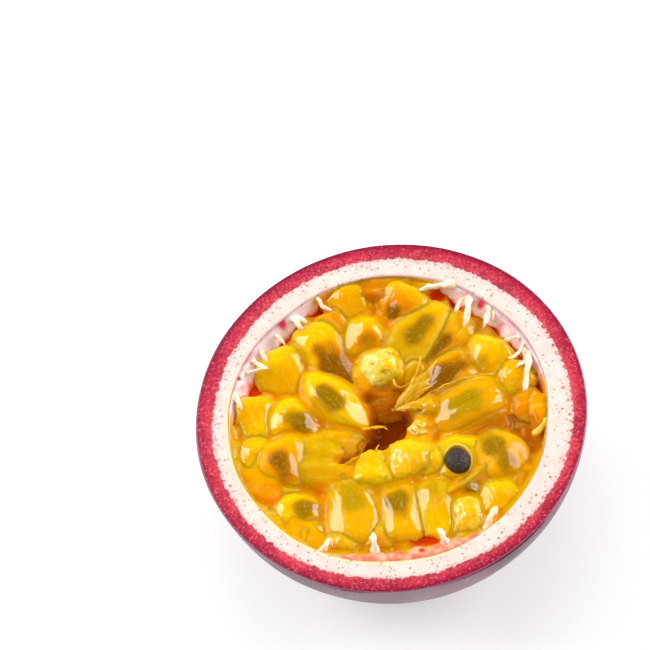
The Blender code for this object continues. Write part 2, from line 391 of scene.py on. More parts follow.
wall = {
    "around": 240,  # points round each ring
    # how many rings of points each face has; fleshUnder and pithUnder are the hidden sides
    "rings": {"skin": 44, "skinEdge": 4, "flesh": 8, "fleshUnder": 16, "pithUnder": 14, "pith": 12,
              "pithEdge": 5, "cavity": 22, "liningTop": 30},
    "edgeRound": 0.35,  # the skin's edge at the cut
    "pithRound": 0.3,  # the pith's edge at the cavity
    "cutUneven": 0.10,  # how far the cut face waves up and down
    "fleshUneven": 0.12,  # how far the border of flesh and pith wanders
    "fleshThinner": 0.75,  # by how much the red layer is thinner towards the front
    "fleshSwell": 0.06,  # how far the flesh stands up in its middle
    "pithUneven": 0.22,
    "hiddenDrop": 0.5,  # how far under the cut the hidden faces start
    "cavityDrop": 1.2,  # and the pith's face at the cavity
    "liningDrop": 0.55,  # and the lining
    "liningStep": 0.25,  # how far the lining stands in from the pith between its ridges
    "liningRough": 0.28,
    "liningThick": 0.03,
    "liningDeep": 12.0,  # down to here the lining has close rings
    "ridgeBulge": 1.3,  # how far a ridge stands in where it is thickest
    "ridgeDrop": 2.6,  # how far under the cut that is
    "ridgeReach": 10.0,  # and how much further down it fades out
    "ridgeFront": 0.5,  # how much more the ridges bulge towards the front
}


def rimShare(depth):
    # how far the layer at this depth has narrowed at the cut, from its widest level
    return math.sqrt(1.0 - ((fruit["equator"] - fruit["cut"]) / (fruit["poleDepth"] - depth)) ** 2)


def layerRadius(angle, depth):
    # radius at the cut face of the layer this deep under the skin
    return (fruit["rimRadius"] / rimShare(0.0) - depth) * rimShare(depth) * ovalShare(angle)


def bowlAt(depth, height):
    # share of the rim radius that a layer keeps at a height above the table
    fall = (fruit["equator"] - height) / (fruit["poleDepth"] - depth)
    return np.sqrt(np.maximum(0.0, 1.0 - fall * fall)) / rimShare(depth)


def bowlHeights(depth, count, top):
    # heights from the top of a layer down to its lowest point, close together near the bottom
    reach = fruit["poleDepth"] - depth
    lowest = max(fruit["equator"] - reach, 0.0)
    first = math.acos((fruit["equator"] - top) / reach)
    last = math.acos(min(1.0, (fruit["equator"] - lowest) / reach))
    return fruit["equator"] - reach * np.cos(np.linspace(first, last, count))


def cutHeight(angle, radius):
    # the cut face isn't perfectly flat
    waves = 0.6 * np.sin(2.0 * angle + 0.8) * (radius / 29.0) ** 2
    waves = waves + 0.25 * np.sin(7.0 * angle + radius * 0.4) + 0.15 * np.sin(17.0 * angle + 1.0)
    return fruit["cut"] + wall["cutUneven"] * (waves - 1.0)


def fleshRadius(angle):
    thinner = wall["fleshThinner"] * smoothStep(0.45 - 0.75 * np.sin(angle - 0.2))
    uneven = wobble(angle, 3, wall["fleshUneven"], (2, 3, 7, 12))
    return layerRadius(angle, fruit["fleshDepth"]) + uneven + thinner


def cavityRadius(angle):
    base = layerRadius(angle, fruit["pithDepth"]) + wobble(angle, 5, wall["pithUneven"])
    return base + fruit["cavityShift"] * np.cos(angle - math.radians(fruit["cavityHeading"]))


def cavityAt(angle, height):
    return cavityRadius(angle) * bowlAt(fruit["pithDepth"], height)


def liningInset(angle, height):
    # how far the lining's inner face stands in from the pith's inner edge
    heading = np.degrees(angle)
    thick = placentaShare(heading)
    below = fruit["cut"] - height
    rise = smoothStep(below / wall["ridgeDrop"])
    fall = smoothStep(1.0 - (below - wall["ridgeDrop"]) / wall["ridgeReach"])
    bulge = 0.25 + 0.75 * np.where(below < wall["ridgeDrop"], rise, fall)
    front = 1.0 + wall["ridgeFront"] * smoothStep(-np.sin(angle))
    rough = np.sin(heading * 0.35 + 1.3 * np.sin(height * 1.1)) * np.sin(height * 1.9 + heading * 0.11)
    rough += 0.6 * np.sin(heading * 0.83 + height * 1.4)
    return (wall["liningStep"] * smoothStep((below - 0.5) / 1.2) + wall["ridgeBulge"] * thick * front * bulge
            + wall["liningRough"] * thick * smoothStep(below - 0.6) * rough)


def liningRadius(angle, height):
    return cavityAt(angle, height) - liningInset(angle, height)


def ringOf(angle, radius, height):
    return angle, np.broadcast_to(radius, angle.shape), np.broadcast_to(height, angle.shape)


def bowlRings(angle, radius, depth, count, drop):
    # rings down a layer's face, from this far under the cut
    return [ringOf(angle, radius * bowlAt(depth, height), height)
            for height in bowlHeights(depth, count, fruit["cut"] - drop)]


def quarterTurns(count):
    # a quarter of a turn in even steps, without its start
    return np.linspace(0.0, math.pi / 2.0, count + 1)[1:]


def makeTurned(name, rings, material, values, tipLift=0.0):
    # a closed shell through the rings, whose first and last shrink to tips; values has its attributes: the
    # value of each ring and of the two tips
    tips = float(rings[0][2][0]), float(rings[-1][2][0]) + tipLift
    kept = rings[1:-1]
    points = np.concatenate([
        np.stack([radius * np.cos(angle), radius * np.sin(angle), height], axis=-1)
        for angle, radius, height in kept]).tolist()
    faces = ringFaces(len(kept), wall["around"])
    closeFan(points, faces, 0, wall["around"], tips[0])
    closeFan(points, faces, (len(kept) - 1) * wall["around"], wall["around"], tips[1])
    piece = makeObject(name, points, faces, material)
    fixNormals(piece)
    for attribute, (rows, tipValues) in values.items():
        spread = [np.broadcast_to(row, wall["around"]) for row in rows[1:-1]]
        setAttribute(piece, attribute, np.concatenate(spread + [tipValues]))
    fixPiece(piece, name, name)


finish = {
    "teeth": 0.62,  # how far the red and the white run into each other
    "teethScale": 1250.0,
    "edgeShadows": ((128.0, 32.0), (38.0, 30.0)),  # heading and half width of the painted shadow lines under the white edge
    # red spots on the lining: x, y, size
    "spots": (
        (-13.7, 18.6, 0.8), (-21.4, 10.5, 0.35), (16.6, 15.5, 0.6), (9.0, -20.6, 0.6), (0.8, -22.5, 0.5)),
}


def teethOf(tree):
    # how far, in millimetres, the border of red and white stands in or out at a place
    ragged = noiseAt(tree, finish["teethScale"], 2.0, 0.55)
    return product(tree, less(tree, ragged, 0.5), 2.0 * finish["teeth"])


def raggedDistance(tree, distance, scale, share):
    return total(tree, distance, product(tree, less(tree, noiseAt(tree, scale, 2.0), 0.5), share))


def flatSpecks(tree, scale, size, keep):
    # scattered dots on the cut face: scale per metre, size as a share of a cell, keep as a share of cells
    distance, randoms = cellsAt(tree, scale, "2D")
    pick = between(tree, randoms[1], 1.0 - keep - 0.01, 1.0 - keep + 0.01)
    sized = product(tree, size, total(tree, 0.55, randoms[0]))
    inside = less(tree, sized, raggedDistance(tree, distance, scale * 2.5, 0.45))
    return product(tree, mathNode(tree, "DIVIDE", inside, product(tree, sized, 0.6), clamp=True), pick)


def pithColour(tree):
    cloudy = noiseAt(tree, 420.0, 3.0)
    return stained(tree, linear(252, 229, 220), linear(248, 217, 207), cloudy, 0.3, 0.7)


def fleshColour(tree, under):
    # red flesh: deep at the skin, brighter further in, full of pale moist grains
    fine = noiseAt(tree, 2800.0, 2.0, 0.6)
    coarse = noiseAt(tree, 240.0, 3.0)
    flesh = rampOf(tree, product(tree, under, 1.0 / 3.0), (
        (0.0, linear(104, 4, 40)), (0.13, linear(150, 10, 50)), (0.24, linear(194, 28, 64)),
        (0.55, linear(216, 54, 76)), (0.95, linear(228, 84, 94))))
    flesh = stained(tree, flesh, linear(156, 14, 56), coarse, 0.40, 0.66, 0.55)
    flesh = stained(tree, flesh, linear(138, 8, 44), fine, 0.50, 0.30, 0.65)
    return stained(tree, flesh, linear(240, 120, 136), fine, 0.54, 0.70, 0.60), fine


def skinColour(tree):
    # dark purple under a pale bloom, with lighter specks in patches and a brown scar at the fruit's end
    mottle = noiseAt(tree, 120.0, 5.0, 0.6)
    skin = stained(tree, linear(62, 5, 28), linear(96, 16, 46), mottle, 0.3, 0.7)
    bloom = noiseAt(tree, 60.0, 3.0)
    skin = stained(tree, skin, linear(150, 106, 128), bloom, 0.40, 0.68, 0.66)
    for scale, size, strength in ((620.0, 0.20, 0.55), (1500.0, 0.24, 0.5)):
        distance, randoms = cellsAt(tree, scale)
        dot = between(tree, raggedDistance(tree, distance, scale * 2.2, 0.35), size, size - 0.12)
        patch = between(tree, noiseAt(tree, 55.0 + scale * 0.04, 2.0), 0.38, 0.62, 0.1, 1.0)
        pick = between(tree, randoms[0], 0.35, 0.45)
        skin = mixColours(tree, product(tree, dot, patch, pick, strength), skin, linear(214, 160, 164))
    fromPole = vectorNode(tree, "LENGTH", {0: coordinates(tree)})["Value"]
    return stained(tree, skin, linear(70, 42, 26), fromPole, 0.0026, 0.0012)


def makeRindMaterial():
    material, tree, shader = newMaterial("rind")
    under = attributeOf(tree, "under")  # millimetres under the skin
    flesh, fine = fleshColour(tree, under)
    inside = less(tree, less(tree, under, fruit["fleshDepth"]), teethOf(tree))
    # next to the skin the flesh is deepest at the back
    outer = less(tree, 1.0, between(tree, under, 0.3, 1.2))
    back = between(tree, coordinateAlong(tree, "Y"), 0.004, 0.022, 0.0, 0.6)
    flesh = mixColours(tree, product(tree, outer, back), flesh, linear(130, 4, 44))
    flesh = stained(tree, flesh, pithColour(tree), inside, -0.10, 0.10)
    colour = stained(tree, flesh, skinColour(tree), under, 0.10, 0.02)
    # a thin pale line along the skin's rounded edge at the cut
    edge = product(tree, between(tree, under, 0.0, 0.03), between(tree, under, 0.22, 0.14), 0.55)
    feed(tree, shader, {
        "Base Color": mixColours(tree, edge, colour, linear(196, 110, 140)), "Roughness": 0.42,
        "Normal": bumpOf(tree, fine, 0.35, 0.00025), "Specular IOR Level": 0.3,
        "Subsurface Weight": 0.15, "Subsurface Radius": (1.0, 0.3, 0.3), "Subsurface Scale": 0.0006,
        "Coat Weight": 0.25, "Coat Roughness": 0.22})
    return material


def makeRind():
    angle = anglesRound(wall["around"])
    rim = layerRadius(angle, 0.0)
    inner = fleshRadius(angle)
    outer = rim - wall["edgeRound"]
    outside = fruit["cut"] - wall["edgeRound"]  # the skin's face ends here
    rings = []
    for height in bowlHeights(0.0, wall["rings"]["skin"], outside)[::-1]:
        bumps = 0.05 * np.sin(3.0 * angle + height * 0.2) + 0.04 * np.sin(7.0 * angle - height * 0.35)
        bumps *= smoothStep((height - 1.0) / 4.0)
        rings.append(ringOf(angle, rim * bowlAt(0.0, height) + bumps, max(height, 0.0)))
    under = [0.0] * len(rings)
    for turn in quarterTurns(wall["rings"]["skinEdge"]):  # round the edge
        inset = wall["edgeRound"] * (1.0 - math.cos(turn))
        lift = wall["edgeRound"] * (math.sin(turn) - 1.0)
        rings.append(ringOf(angle, rim - inset, cutHeight(angle, rim - inset) + lift))
        under.append(inset)
    for share in np.linspace(0.0, 1.0, wall["rings"]["flesh"] + 1)[1:]:  # across the red flesh
        radius = outer + (inner - outer) * share
        swell = wall["fleshSwell"] * np.sin(share * math.pi)
        rings.append(ringOf(angle, radius, cutHeight(angle, radius) + swell))
        under.append(wall["edgeRound"] + (fruit["fleshDepth"] - wall["edgeRound"]) * share)
    rings += bowlRings(angle, inner, fruit["fleshDepth"], wall["rings"]["fleshUnder"], wall["hiddenDrop"])
    under += [fruit["fleshDepth"]] * (len(rings) - len(under))
    makeTurned("rind", rings, makeRindMaterial(), {"under": (under, [0.0, fruit["fleshDepth"]])})


# specks: scale, size, share kept, tone, where they fade in and where they are full, strength; the two places
# go from 0 at the flesh to 1 at the cavity
pithSpecks = (
    (850.0, 0.17, 0.36, linear(208, 96, 52), 0.60, 0.38, 0.85),
    (1150.0, 0.22, 0.30, linear(218, 64, 56), 0.40, 0.12, 0.80),
    (1500.0, 0.26, 0.30, linear(200, 114, 70), 0.95, 0.60, 0.75),
    (850.0, 0.18, 0.30, linear(176, 150, 84), 0.35, 0.45, 0.75),
)


def makePithMaterial():
    material, tree, shader = newMaterial("pith")
    inward = attributeOf(tree, "inward")  # 0 at the red flesh, 1 at the cavity
    colour = pithColour(tree)
    # next to the pulp the white takes on the juice's yellow, most on the lower left
    lowerLeft = vectorNode(tree, "DOT_PRODUCT", {0: coordinates(tree), 1: (-0.75, -0.66, 0.0)})["Value"]
    lowerLeft = between(tree, lowerLeft, 0.002, 0.020, 0.0, 0.8)
    juicy = product(tree, between(tree, inward, 0.62, 0.95), lowerLeft)
    colour = mixColours(tree, juicy, colour, linear(252, 222, 160))
    for scale, size, keep, tone, fadeIn, full, strength in pithSpecks:
        zone = between(tree, inward, fadeIn, full)
        share = product(tree, flatSpecks(tree, scale, size, keep), zone, strength)
        colour = mixColours(tree, share, colour, tone)
    flesh, _ = fleshColour(tree, fruit["fleshDepth"])
    depth = product(tree, inward, fruit["pithDepth"] - fruit["fleshDepth"])
    inside = less(tree, depth, teethOf(tree))
    colour = stained(tree, colour, linear(244, 160, 160), inside, 0.75, 0.0, 0.30)
    colour = stained(tree, colour, flesh, inside, 0.10, -0.10)
    height = total(tree, noiseAt(tree, 420.0, 3.0), product(tree, noiseAt(tree, 2200.0, 2.0), 0.3))
    feed(tree, shader, {
        "Base Color": colour, "Roughness": 0.55, "Normal": bumpOf(tree, height, 0.3, 0.0004),
        "Subsurface Weight": 0.4, "Subsurface Radius": (1.0, 0.75, 0.65), "Subsurface Scale": 0.001,
        "Coat Weight": 0.1, "Coat Roughness": 0.3})
    return material


def makePith():
    angle = anglesRound(wall["around"])
    outer = fleshRadius(angle)
    inner = cavityRadius(angle)
    curve = wall["pithRound"]
    rings = bowlRings(angle, outer, fruit["fleshDepth"], wall["rings"]["pithUnder"], wall["hiddenDrop"])[::-1]
    inward = [0.0] * len(rings)
    for share in np.linspace(0.0, 1.0, wall["rings"]["pith"]):  # across the cut face
        radius = outer + (inner + curve - outer) * share
        rings.append(ringOf(angle, radius, cutHeight(angle, radius)))
        inward.append(share * 0.85)
    for turn in quarterTurns(wall["rings"]["pithEdge"]):  # round the edge
        radius = inner + curve * (1.0 - math.sin(turn))
        rings.append(ringOf(angle, radius, cutHeight(angle, radius) - curve * (1.0 - math.cos(turn))))
        inward.append(0.85 + 0.15 * turn / (math.pi / 2.0))
    rings += bowlRings(angle, inner, fruit["pithDepth"], wall["rings"]["cavity"], wall["cavityDrop"])
    inward += [1.0] * (len(rings) - len(inward))
    makeTurned("pith", rings, makePithMaterial(), {"inward": (inward, [0.0, 1.0])})


def liningColour(tree, streak, cloudy):
    # pink and clouded, salmon towards the front, and amber where it is thin
    pink = stained(tree, linear(255, 240, 238), linear(255, 208, 214), streak, 0.35, 0.65)
    pink = stained(tree, pink, linear(250, 120, 142), cloudy, 0.52, 0.70, 0.65)
    salmon = stained(tree, linear(254, 190, 156), linear(248, 122, 96), streak, 0.35, 0.65)
    salmon = stained(tree, salmon, linear(250, 206, 150), cloudy, 0.56, 0.70)
    pink = stained(tree, pink, salmon, coordinateAlong(tree, "Y"), -0.012, -0.018)
    plain = mixColours(tree, cloudy, linear(255, 190, 84), linear(250, 164, 36))
    return stained(tree, plain, pink, attributeOf(tree, "ridge"), 0.10, 0.45)


def makeLiningMaterial():
    material, tree, shader = newMaterial("lining")
    below = attributeOf(tree, "below")  # millimetres under the cut
    stretched = addNode(tree, "ShaderNodeMapping", {"Vector": coordinates(tree), "Scale": (1.0, 1.0, 0.35)})
    streak = noiseAt(tree, 650.0, 3.0, 0.6, 0.4, stretched.outputs[0])
    colour = liningColour(tree, streak, noiseAt(tree, 260.0, 3.0))
    fromAbove = vectorNode(tree, "MULTIPLY", {0: coordinates(tree), 1: (1.0, 1.0, 0.0)})[0]
    for x, y, size in finish["spots"]:
        distance = vectorNode(tree, "DISTANCE", {0: fromAbove, 1: (x * mm, y * mm, 0.0)})["Value"]
        colour = stained(tree, colour, linear(222, 20, 60), distance, size * 1.5 * mm, size * 0.4 * mm)
    # painted shadow: a broken dark line just under the pith's white edge, where the lining starts
    line = product(tree, between(tree, below, 0.18, 0.30), between(tree, below, 0.62, 0.42))
    broken = between(tree, noiseAt(tree, 420.0, 3.0, 0.7), 0.36, 0.56, 0.15, 0.85)
    edgeShadow = product(tree, line, attributeOf(tree, "edgeShadow"), broken)
    colour = mixColours(tree, edgeShadow, colour, linear(150, 92, 118))
    # further down it turns orange, then red: a painted glow of light come through the juice into the deep
    # gaps
    ragged = total(tree, below, product(tree, streak, 1.2))
    colour = stained(tree, colour, linear(252, 116, 10), ragged, 2.7, 3.6)
    colour = stained(tree, colour, linear(232, 56, 4), below, 3.4, 5.0)
    feed(tree, shader, {
        "Base Color": colour, "Roughness": 0.35, "Normal": bumpOf(tree, streak, 0.45, 0.0004),
        "Subsurface Weight": 0.4, "Subsurface Radius": (1.0, 0.5, 0.4), "Subsurface Scale": 0.001,
        "Coat Weight": 0.6, "Coat Roughness": 0.10})
    return material


def makeLining():
    angle = anglesRound(wall["around"])
    heading = np.degrees(angle)
    top, deep = fruit["cut"] - wall["liningDrop"], fruit["cut"] - wall["liningDeep"]
    heights = np.concatenate([
        np.linspace(top, deep, wall["rings"]["liningTop"]),
        bowlHeights(fruit["pithDepth"], wall["rings"]["cavity"], deep - 0.6)])
    rings = [ringOf(angle, cavityAt(angle, height) - wall["liningThick"], height) for height in heights[::-1]]
    for height in heights:
        outer = cavityAt(angle, height)
        inset = np.minimum(liningInset(angle, height), outer * 0.6)
        rings.append(ringOf(angle, outer - 2.0 * wall["liningThick"] - inset, height + 0.02))
    # where the painted shadow line under the pith's edge runs
    edgeShadows = [smoothStep(1.6 * (1.0 - turnBetween(heading, at) / half)) for at, half in finish["edgeShadows"]]
    makeTurned("lining", rings, makeLiningMaterial(), {
        "ridge": ([placentaShare(heading)] * len(rings), [0.0, 0.0]),
        "edgeShadow": ([np.max(edgeShadows, axis=0)] * len(rings), [0.0, 0.0]),
        "below": ([fruit["cut"] - ring[2] for ring in rings], [20.0, 20.0])}, 0.3)


makeRind()
makePith()
makeLining()
report("wall")

tones = {
    "pale": linear(255, 224, 110),
    "lemon": linear(255, 199, 0),
    "yellow": linear(255, 186, 0),
    "warm": linear(255, 176, 0),
    "orange": linear(250, 152, 0),
    "amber": linear(236, 144, 0),
    "brown": linear(192, 108, 0),
    # painted shade deep in the hollow and under the bare seed
    "deep": linear(132, 46, 0),
    # painted glow of light through the juice in the wall's holes
    "red": linear(232, 64, 0),
    "pool": linear(216, 130, 0),
    "olive": linear(232, 168, 0),
    "lime": linear(218, 174, 6),
    "green": linear(190, 152, 0),
    "moss": linear(160, 120, 2),
    "seedBrown": linear(150, 96, 2),
    # painted shade in low grooves
    "shadeOrange": linear(176, 78, 0),
}


def toneOf(name):
    return np.array(tones[name][:3])


def tinted(colour, tone, share):
    # colours moved a share of the way towards a tone
    return colour + (tone - colour) * np.reshape(share, (-1, 1))


def sac(wallEnd, tip, width, top, dip=0.8, **more):
    # a listed juice sac: x and y of its end at the wall and of its tip; its width where neighbours
    # press on it, near nothing for a thin strip; the level of its crown; how much lower its tip is
    row = {
        "bend": 0.0,  # how far its middle stands out to the side
        "taper": 0.15,  # how much narrower it gets towards its tip
        "full": 2.4,  # 2 gives oval ends, less gives pointed ones and more gives blunt ones
        "lumps": 1.0,
        "folds": 0.1,  # 0.15 and less is a full sac, more a crumpled one
        "facets": 4,  # flat places at random round its crown
        # flat places that mirror the left box (-1) or the right one (1), and how far out they lie
        "shine": (),
        "dull": (0.0, 0.0),  # how much shine is lost on the side that faces left and right
        "ends": ("yellow", "yellow"),  # tones at the wall and at the tip
        "glow": "warm",  # tone painted as shade in its grooves and down its sides
        "rim": 0.15,  # strength of the pale line along its edge, a painted highlight
        # a seed that shows through: its place from wall end 0 to tip 1, to the side, half length, half width,
        # how strongly it shows, tone
        "seed": None,
        "open": False,  # whether it is the open sac that holds the bare seed
    }
    return {**row, "wallEnd": wallEnd, "tip": tip, "width": width, "top": top, "dip": dip, **more}


sacRows = (
    # upper left
    sac((-10.0, 18.3), (-4.4, 3.8), 6.2, -1.1, 2.8, taper=0.22, ends=("lemon", "brown"), facets=3,
        seed=(0.58, -0.3, 4.6, 2.6, 1.0, "seedBrown"), dull=(0.0, 0.5)),
    sac((-16.2, 15.2), (-13.2, 6.4), 7.6, -0.8, 1.8, taper=0.12, ends=("lemon", "yellow"),
        shine=((1, 0.98),)),
    sac((-11.0, 9.4), (-3.6, -0.4), 3.8, -0.2, 1.4, bend=-0.6, taper=0.0, full=1.55,
        ends=("lemon", "lemon"), rim=0.6, seed=(0.46, -0.3, 2.9, 1.9, 0.95, "moss"), shine=((1, 0.82),),
        facets=3),
    sac((-17.4, 4.6), (-9.8, -0.6), 5.4, -0.6, 0.8, full=1.9, ends=("lemon", "amber"), rim=0.4, facets=2,
        seed=(0.54, 0.0, 2.7, 2.0, 0.8, "moss"), shine=((-1, 0.97), (1, 0.85))),
    sac((-14.0, -1.6), (-4.4, -1.9), 3.6, -1.7, 0.8, ends=("olive", "olive"), rim=0.2, facets=1,
        glow="olive", dull=(0.8, 0.6)),
    sac((-20.9, 7.6), (-20.4, -0.2), 5.2, -0.9, 0.2, ends=("yellow", "lemon"), folds=0.3,
        shine=((-1, 0.93),)),
    sac((-23.2, -0.8), (-18.4, -3.8), 5.2, -0.8, 0.3, ends=("yellow", "lemon"), shine=((-1, 0.90),)),
    # lower left
    sac((-17.4, -0.8), (-15.2, -8.8), 6.6, -0.3, 0.7, ends=("warm", "olive"), facets=0, glow="olive",
        seed=(0.50, -0.9, 3.0, 1.7, 0.70, "seedBrown"), shine=((1, 0.80),), dull=(0.85, 0.2)),
    sac((-12.6, -2.8), (-9.2, -3.8), 3.6, -1.9, 0.5, ends=("olive", "olive"), rim=0.0, facets=1,
        glow="olive", dull=(0.9, 0.6)),
    sac((-13.0, -5.6), (-10.6, -8.0), 4.4, -1.9, 0.6, ends=("olive", "olive"), rim=0.0, facets=1,
        glow="olive", dull=(0.9, 0.3)),
    sac((-21.4, -6.4), (-14.2, -9.6), 5.0, -1.6, 0.3, ends=("warm", "warm"), folds=0.0, lumps=0.4),
    sac((-19.6, -11.8), (-11.6, -12.8), 5.2, -1.0, 0.4, full=1.8, ends=("lemon", "olive"), rim=0.3,
        seed=(0.60, 0.0, 2.4, 1.9, 0.75, "moss")),
    sac((-16.6, -16.6), (-12.6, -16.0), 5.2, -1.3, 0.2, ends=("warm", "warm"), folds=0.0, lumps=0.5),
    sac((-21.0, -9.8), (-17.0, -15.2), 3.8, -1.6, 0.0, ends=("warm", "warm"), folds=0.0, lumps=0.5),
    # bottom
    sac((-7.6, -19.6), (-8.2, -7.2), 6.8, -0.3, 0.6, ends=("yellow", "lime"), taper=0.02, facets=3,
        seed=(0.62, 0.0, 3.2, 2.1, 0.65, "green"), shine=((-1, 0.955), (1, 0.93))),
    sac((-10.6, -19.4), (-9.4, -16.0), 3.6, -1.0, 0.0, ends=("warm", "yellow"), folds=0.4),
    sac((-1.2, -20.0), (-1.0, -10.0), 6.0, -0.4, 0.2, ends=("yellow", "olive"), facets=2,
        seed=(0.58, 0.4, 2.7, 2.1, 0.85, "moss"), shine=((-1, 0.96), (1, 0.945))),
    sac((-4.8, -20.2), (-4.6, -16.4), 3.6, -1.2, 0.0, ends=("orange", "warm"), folds=0.2),
    sac((-4.2, -9.8), (-3.4, -5.2), 5.4, -0.4, 0.7, ends=("lemon", "yellow"), folds=0.45),
    sac((-8.0, -8.4), (-6.4, -7.2), 3.0, -1.3, 0.3, ends=("olive", "amber"), folds=0.4),
    sac((2.0, -9.4), (0.4, -4.4), 6.2, -0.3, 0.8, ends=("yellow", "lemon"), folds=0.5, shine=((1, 0.96),)),
    sac((5.6, -10.2), (4.4, -6.0), 3.4, -0.9, 0.6, ends=("warm", "lemon"), folds=0.3),
    sac((4.2, -20.4), (3.9, -10.8), 4.8, -0.6, 0.0, ends=("lemon", "lime"), taper=0.0, folds=0.3, facets=2,
        seed=(0.78, 0.0, 1.8, 1.2, 0.6, "green"), shine=((-1, 0.955), (1, 0.955))),
    sac((8.5, -12.2), (8.4, -4.6), 7.4, -0.4, 0.6, taper=0.0, ends=("warm", "lemon"), open=True),
    sac((12.0, -11.5), (6.4, -14.5), -2.3, -0.4, 0.2, bend=0.3, ends=("orange", "orange"), folds=0.0,
        lumps=0.3, facets=0),
    sac((10.3, -13.5), (8.0, -13.7), 0.0, -0.6, 0.0, ends=("moss", "moss"), folds=0.0, lumps=0.3,
        shine=((1, 0.72),), facets=0),
    sac((8.0, -20.4), (8.0, -14.8), 3.4, -0.5, 0.0, ends=("yellow", "lemon"), folds=0.6,
        shine=((-1, 0.95), (1, 0.95))),
    sac((13.4, -18.2), (12.6, -12.9), 5.0, -0.6, 0.0, ends=("warm", "lemon"), folds=0.25, facets=2,
        shine=((-1, 0.95),), dull=(0.3, 0.3)),
    sac((17.4, -15.2), (16.2, -12.4), 4.4, -1.4, 0.0, ends=("orange", "amber")),
    sac((15.9, -13.0), (12.5, -5.0), 6.0, -0.2, 0.8, ends=("warm", "lime"), rim=0.3,
        seed=(0.50, -0.1, 4.6, 1.9, 0.9, "moss"), shine=((1, 0.93),), facets=0, dull=(0.9, 0.4)),
    # right
    # these two low sacs take brown and dark orange tones as painted shade
    sac((21.2, -4.6), (16.4, -4.4), 4.2, -2.4, 0.3, ends=("amber", "shadeOrange")),
    sac((20.4, -9.0), (18.4, -6.6), 4.2, -2.9, 0.0, ends=("brown", "amber")),
    sac((17.0, 1.2), (5.0, -1.3), 6.8, -0.2, 1.4, bend=0.2, taper=0.02, full=2.0, ends=("warm", "olive"),
        rim=0.6, seed=(0.50, 0.3, 4.0, 2.2, 0.85, "green"), shine=((-1, 0.89),)),
    sac((20.8, 3.4), (17.2, 1.6), 4.8, -0.9, 0.0, ends=("yellow", "yellow"), folds=0.3, facets=3),
    sac((22.4, -1.4), (17.4, -1.7), 5.0, -1.5, 0.0, ends=("warm", "orange"), folds=0.0, lumps=0.5, facets=0,
        dull=(0.8, 0.3)),
    sac((17.0, -3.8), (6.6, -4.0), 3.2, -1.8, 0.4, ends=("brown", "amber"), folds=0.0, dull=(0.8, 0.8)),
    # upper right
    sac((13.6, 7.0), (2.6, 2.4), 5.6, -1.2, 1.5, taper=0.3, ends=("olive", "olive"), facets=1, glow="amber",
        seed=(0.42, 0.0, 4.2, 2.0, 0.9, "seedBrown"), shine=((-1, 0.90),)),
    sac((18.2, 9.2), (13.2, 4.2), 6.0, -0.6, 1.2, ends=("lemon", "olive"), rim=0.4, facets=2,
        seed=(0.70, 0.1, 2.0, 1.7, 0.5, "green"), shine=((1, 0.985), (-1, 0.965))),
    sac((17.2, 12.4), (12.0, 10.4), 4.8, -1.9, 0.2, ends=("orange", "orange")),
    sac((14.0, 14.8), (4.4, 6.2), 5.8, -1.1, 1.8, ends=("yellow", "brown"), facets=0,
        seed=(0.52, 0.0, 3.0, 1.6, 0.85, "seedBrown")),
    sac((11.2, 17.0), (1.0, 8.8), 5.8, -0.4, 1.2, taper=0.0, ends=("yellow", "lime"), rim=0.3, facets=1,
        glow="olive", seed=(0.47, 0.1, 3.8, 2.0, 0.75, "moss"), dull=(0.9, 0.3)),
    sac((1.6, 8.7), (-2.9, 8.8), 3.0, -0.5, -0.1, full=2.3, ends=("lemon", "pale"), folds=0.9, facets=2,
        glow="lemon"),
    sac((-1.8, 17.2), (-1.6, 11.2), 6.2, -0.8, 1.0, ends=("yellow", "olive"),
        seed=(0.60, 0.3, 2.0, 1.7, 0.5, "seedBrown"), shine=((-1, 0.98),)),
    sac((-3.6, 22.6), (-2.8, 18.0), 5.6, -0.3, 0.8, ends=("warm", "warm"), facets=3),
    sac((-6.4, 19.4), (-4.8, 14.8), 4.2, -1.0, 0.8, ends=("orange", "orange"), facets=2),
    sac((6.4, 20.6), (3.0, 17.2), 6.4, -0.1, 1.0, ends=("yellow", "amber"), facets=0,
        seed=(0.82, 0.0, 1.7, 1.4, 0.9, "seedBrown"), shine=((-1, 0.975),), dull=(0.4, 0.0)),
    sac((4.8, 15.0), (0.8, 14.4), 3.6, -2.4, 0.4, ends=("amber", "orange")),
    # over the hollow's edge
    sac((5.6, 8.0), (2.6, 5.8), 1.0, -1.7, 0.5, ends=("olive", "olive"), rim=0.6, folds=0.0, lumps=0.3),
    sac((6.4, 0.8), (3.0, 1.0), 0.6, -1.5, 0.7, taper=0.3, ends=("olive", "lemon")),
    sac((4.0, -3.0), (2.6, -1.4), 0.4, -1.8, 0.4, ends=("olive", "lemon"), folds=0.9, glow="olive"),
    # two sacs down in the hollow, brown and dark brown as painted shade
    sac((2.8, 5.2), (-4.4, 3.8), 4.4, -3.4, 0.9, ends=("brown", "brown")),
    sac((1.6, 0.6), (-2.6, 0.4), 3.6, -6.6, 0.6, ends=("deep", "deep")),
    # a thin shard at the hollow's edge, its tip painted dark orange as shade
    sac((-7.2, -2.7), (-4.6, -2.2), 0.2, -2.9, 0.3, ends=("brown", "shadeOrange"), folds=0.0, lumps=0.3, facets=1),
)
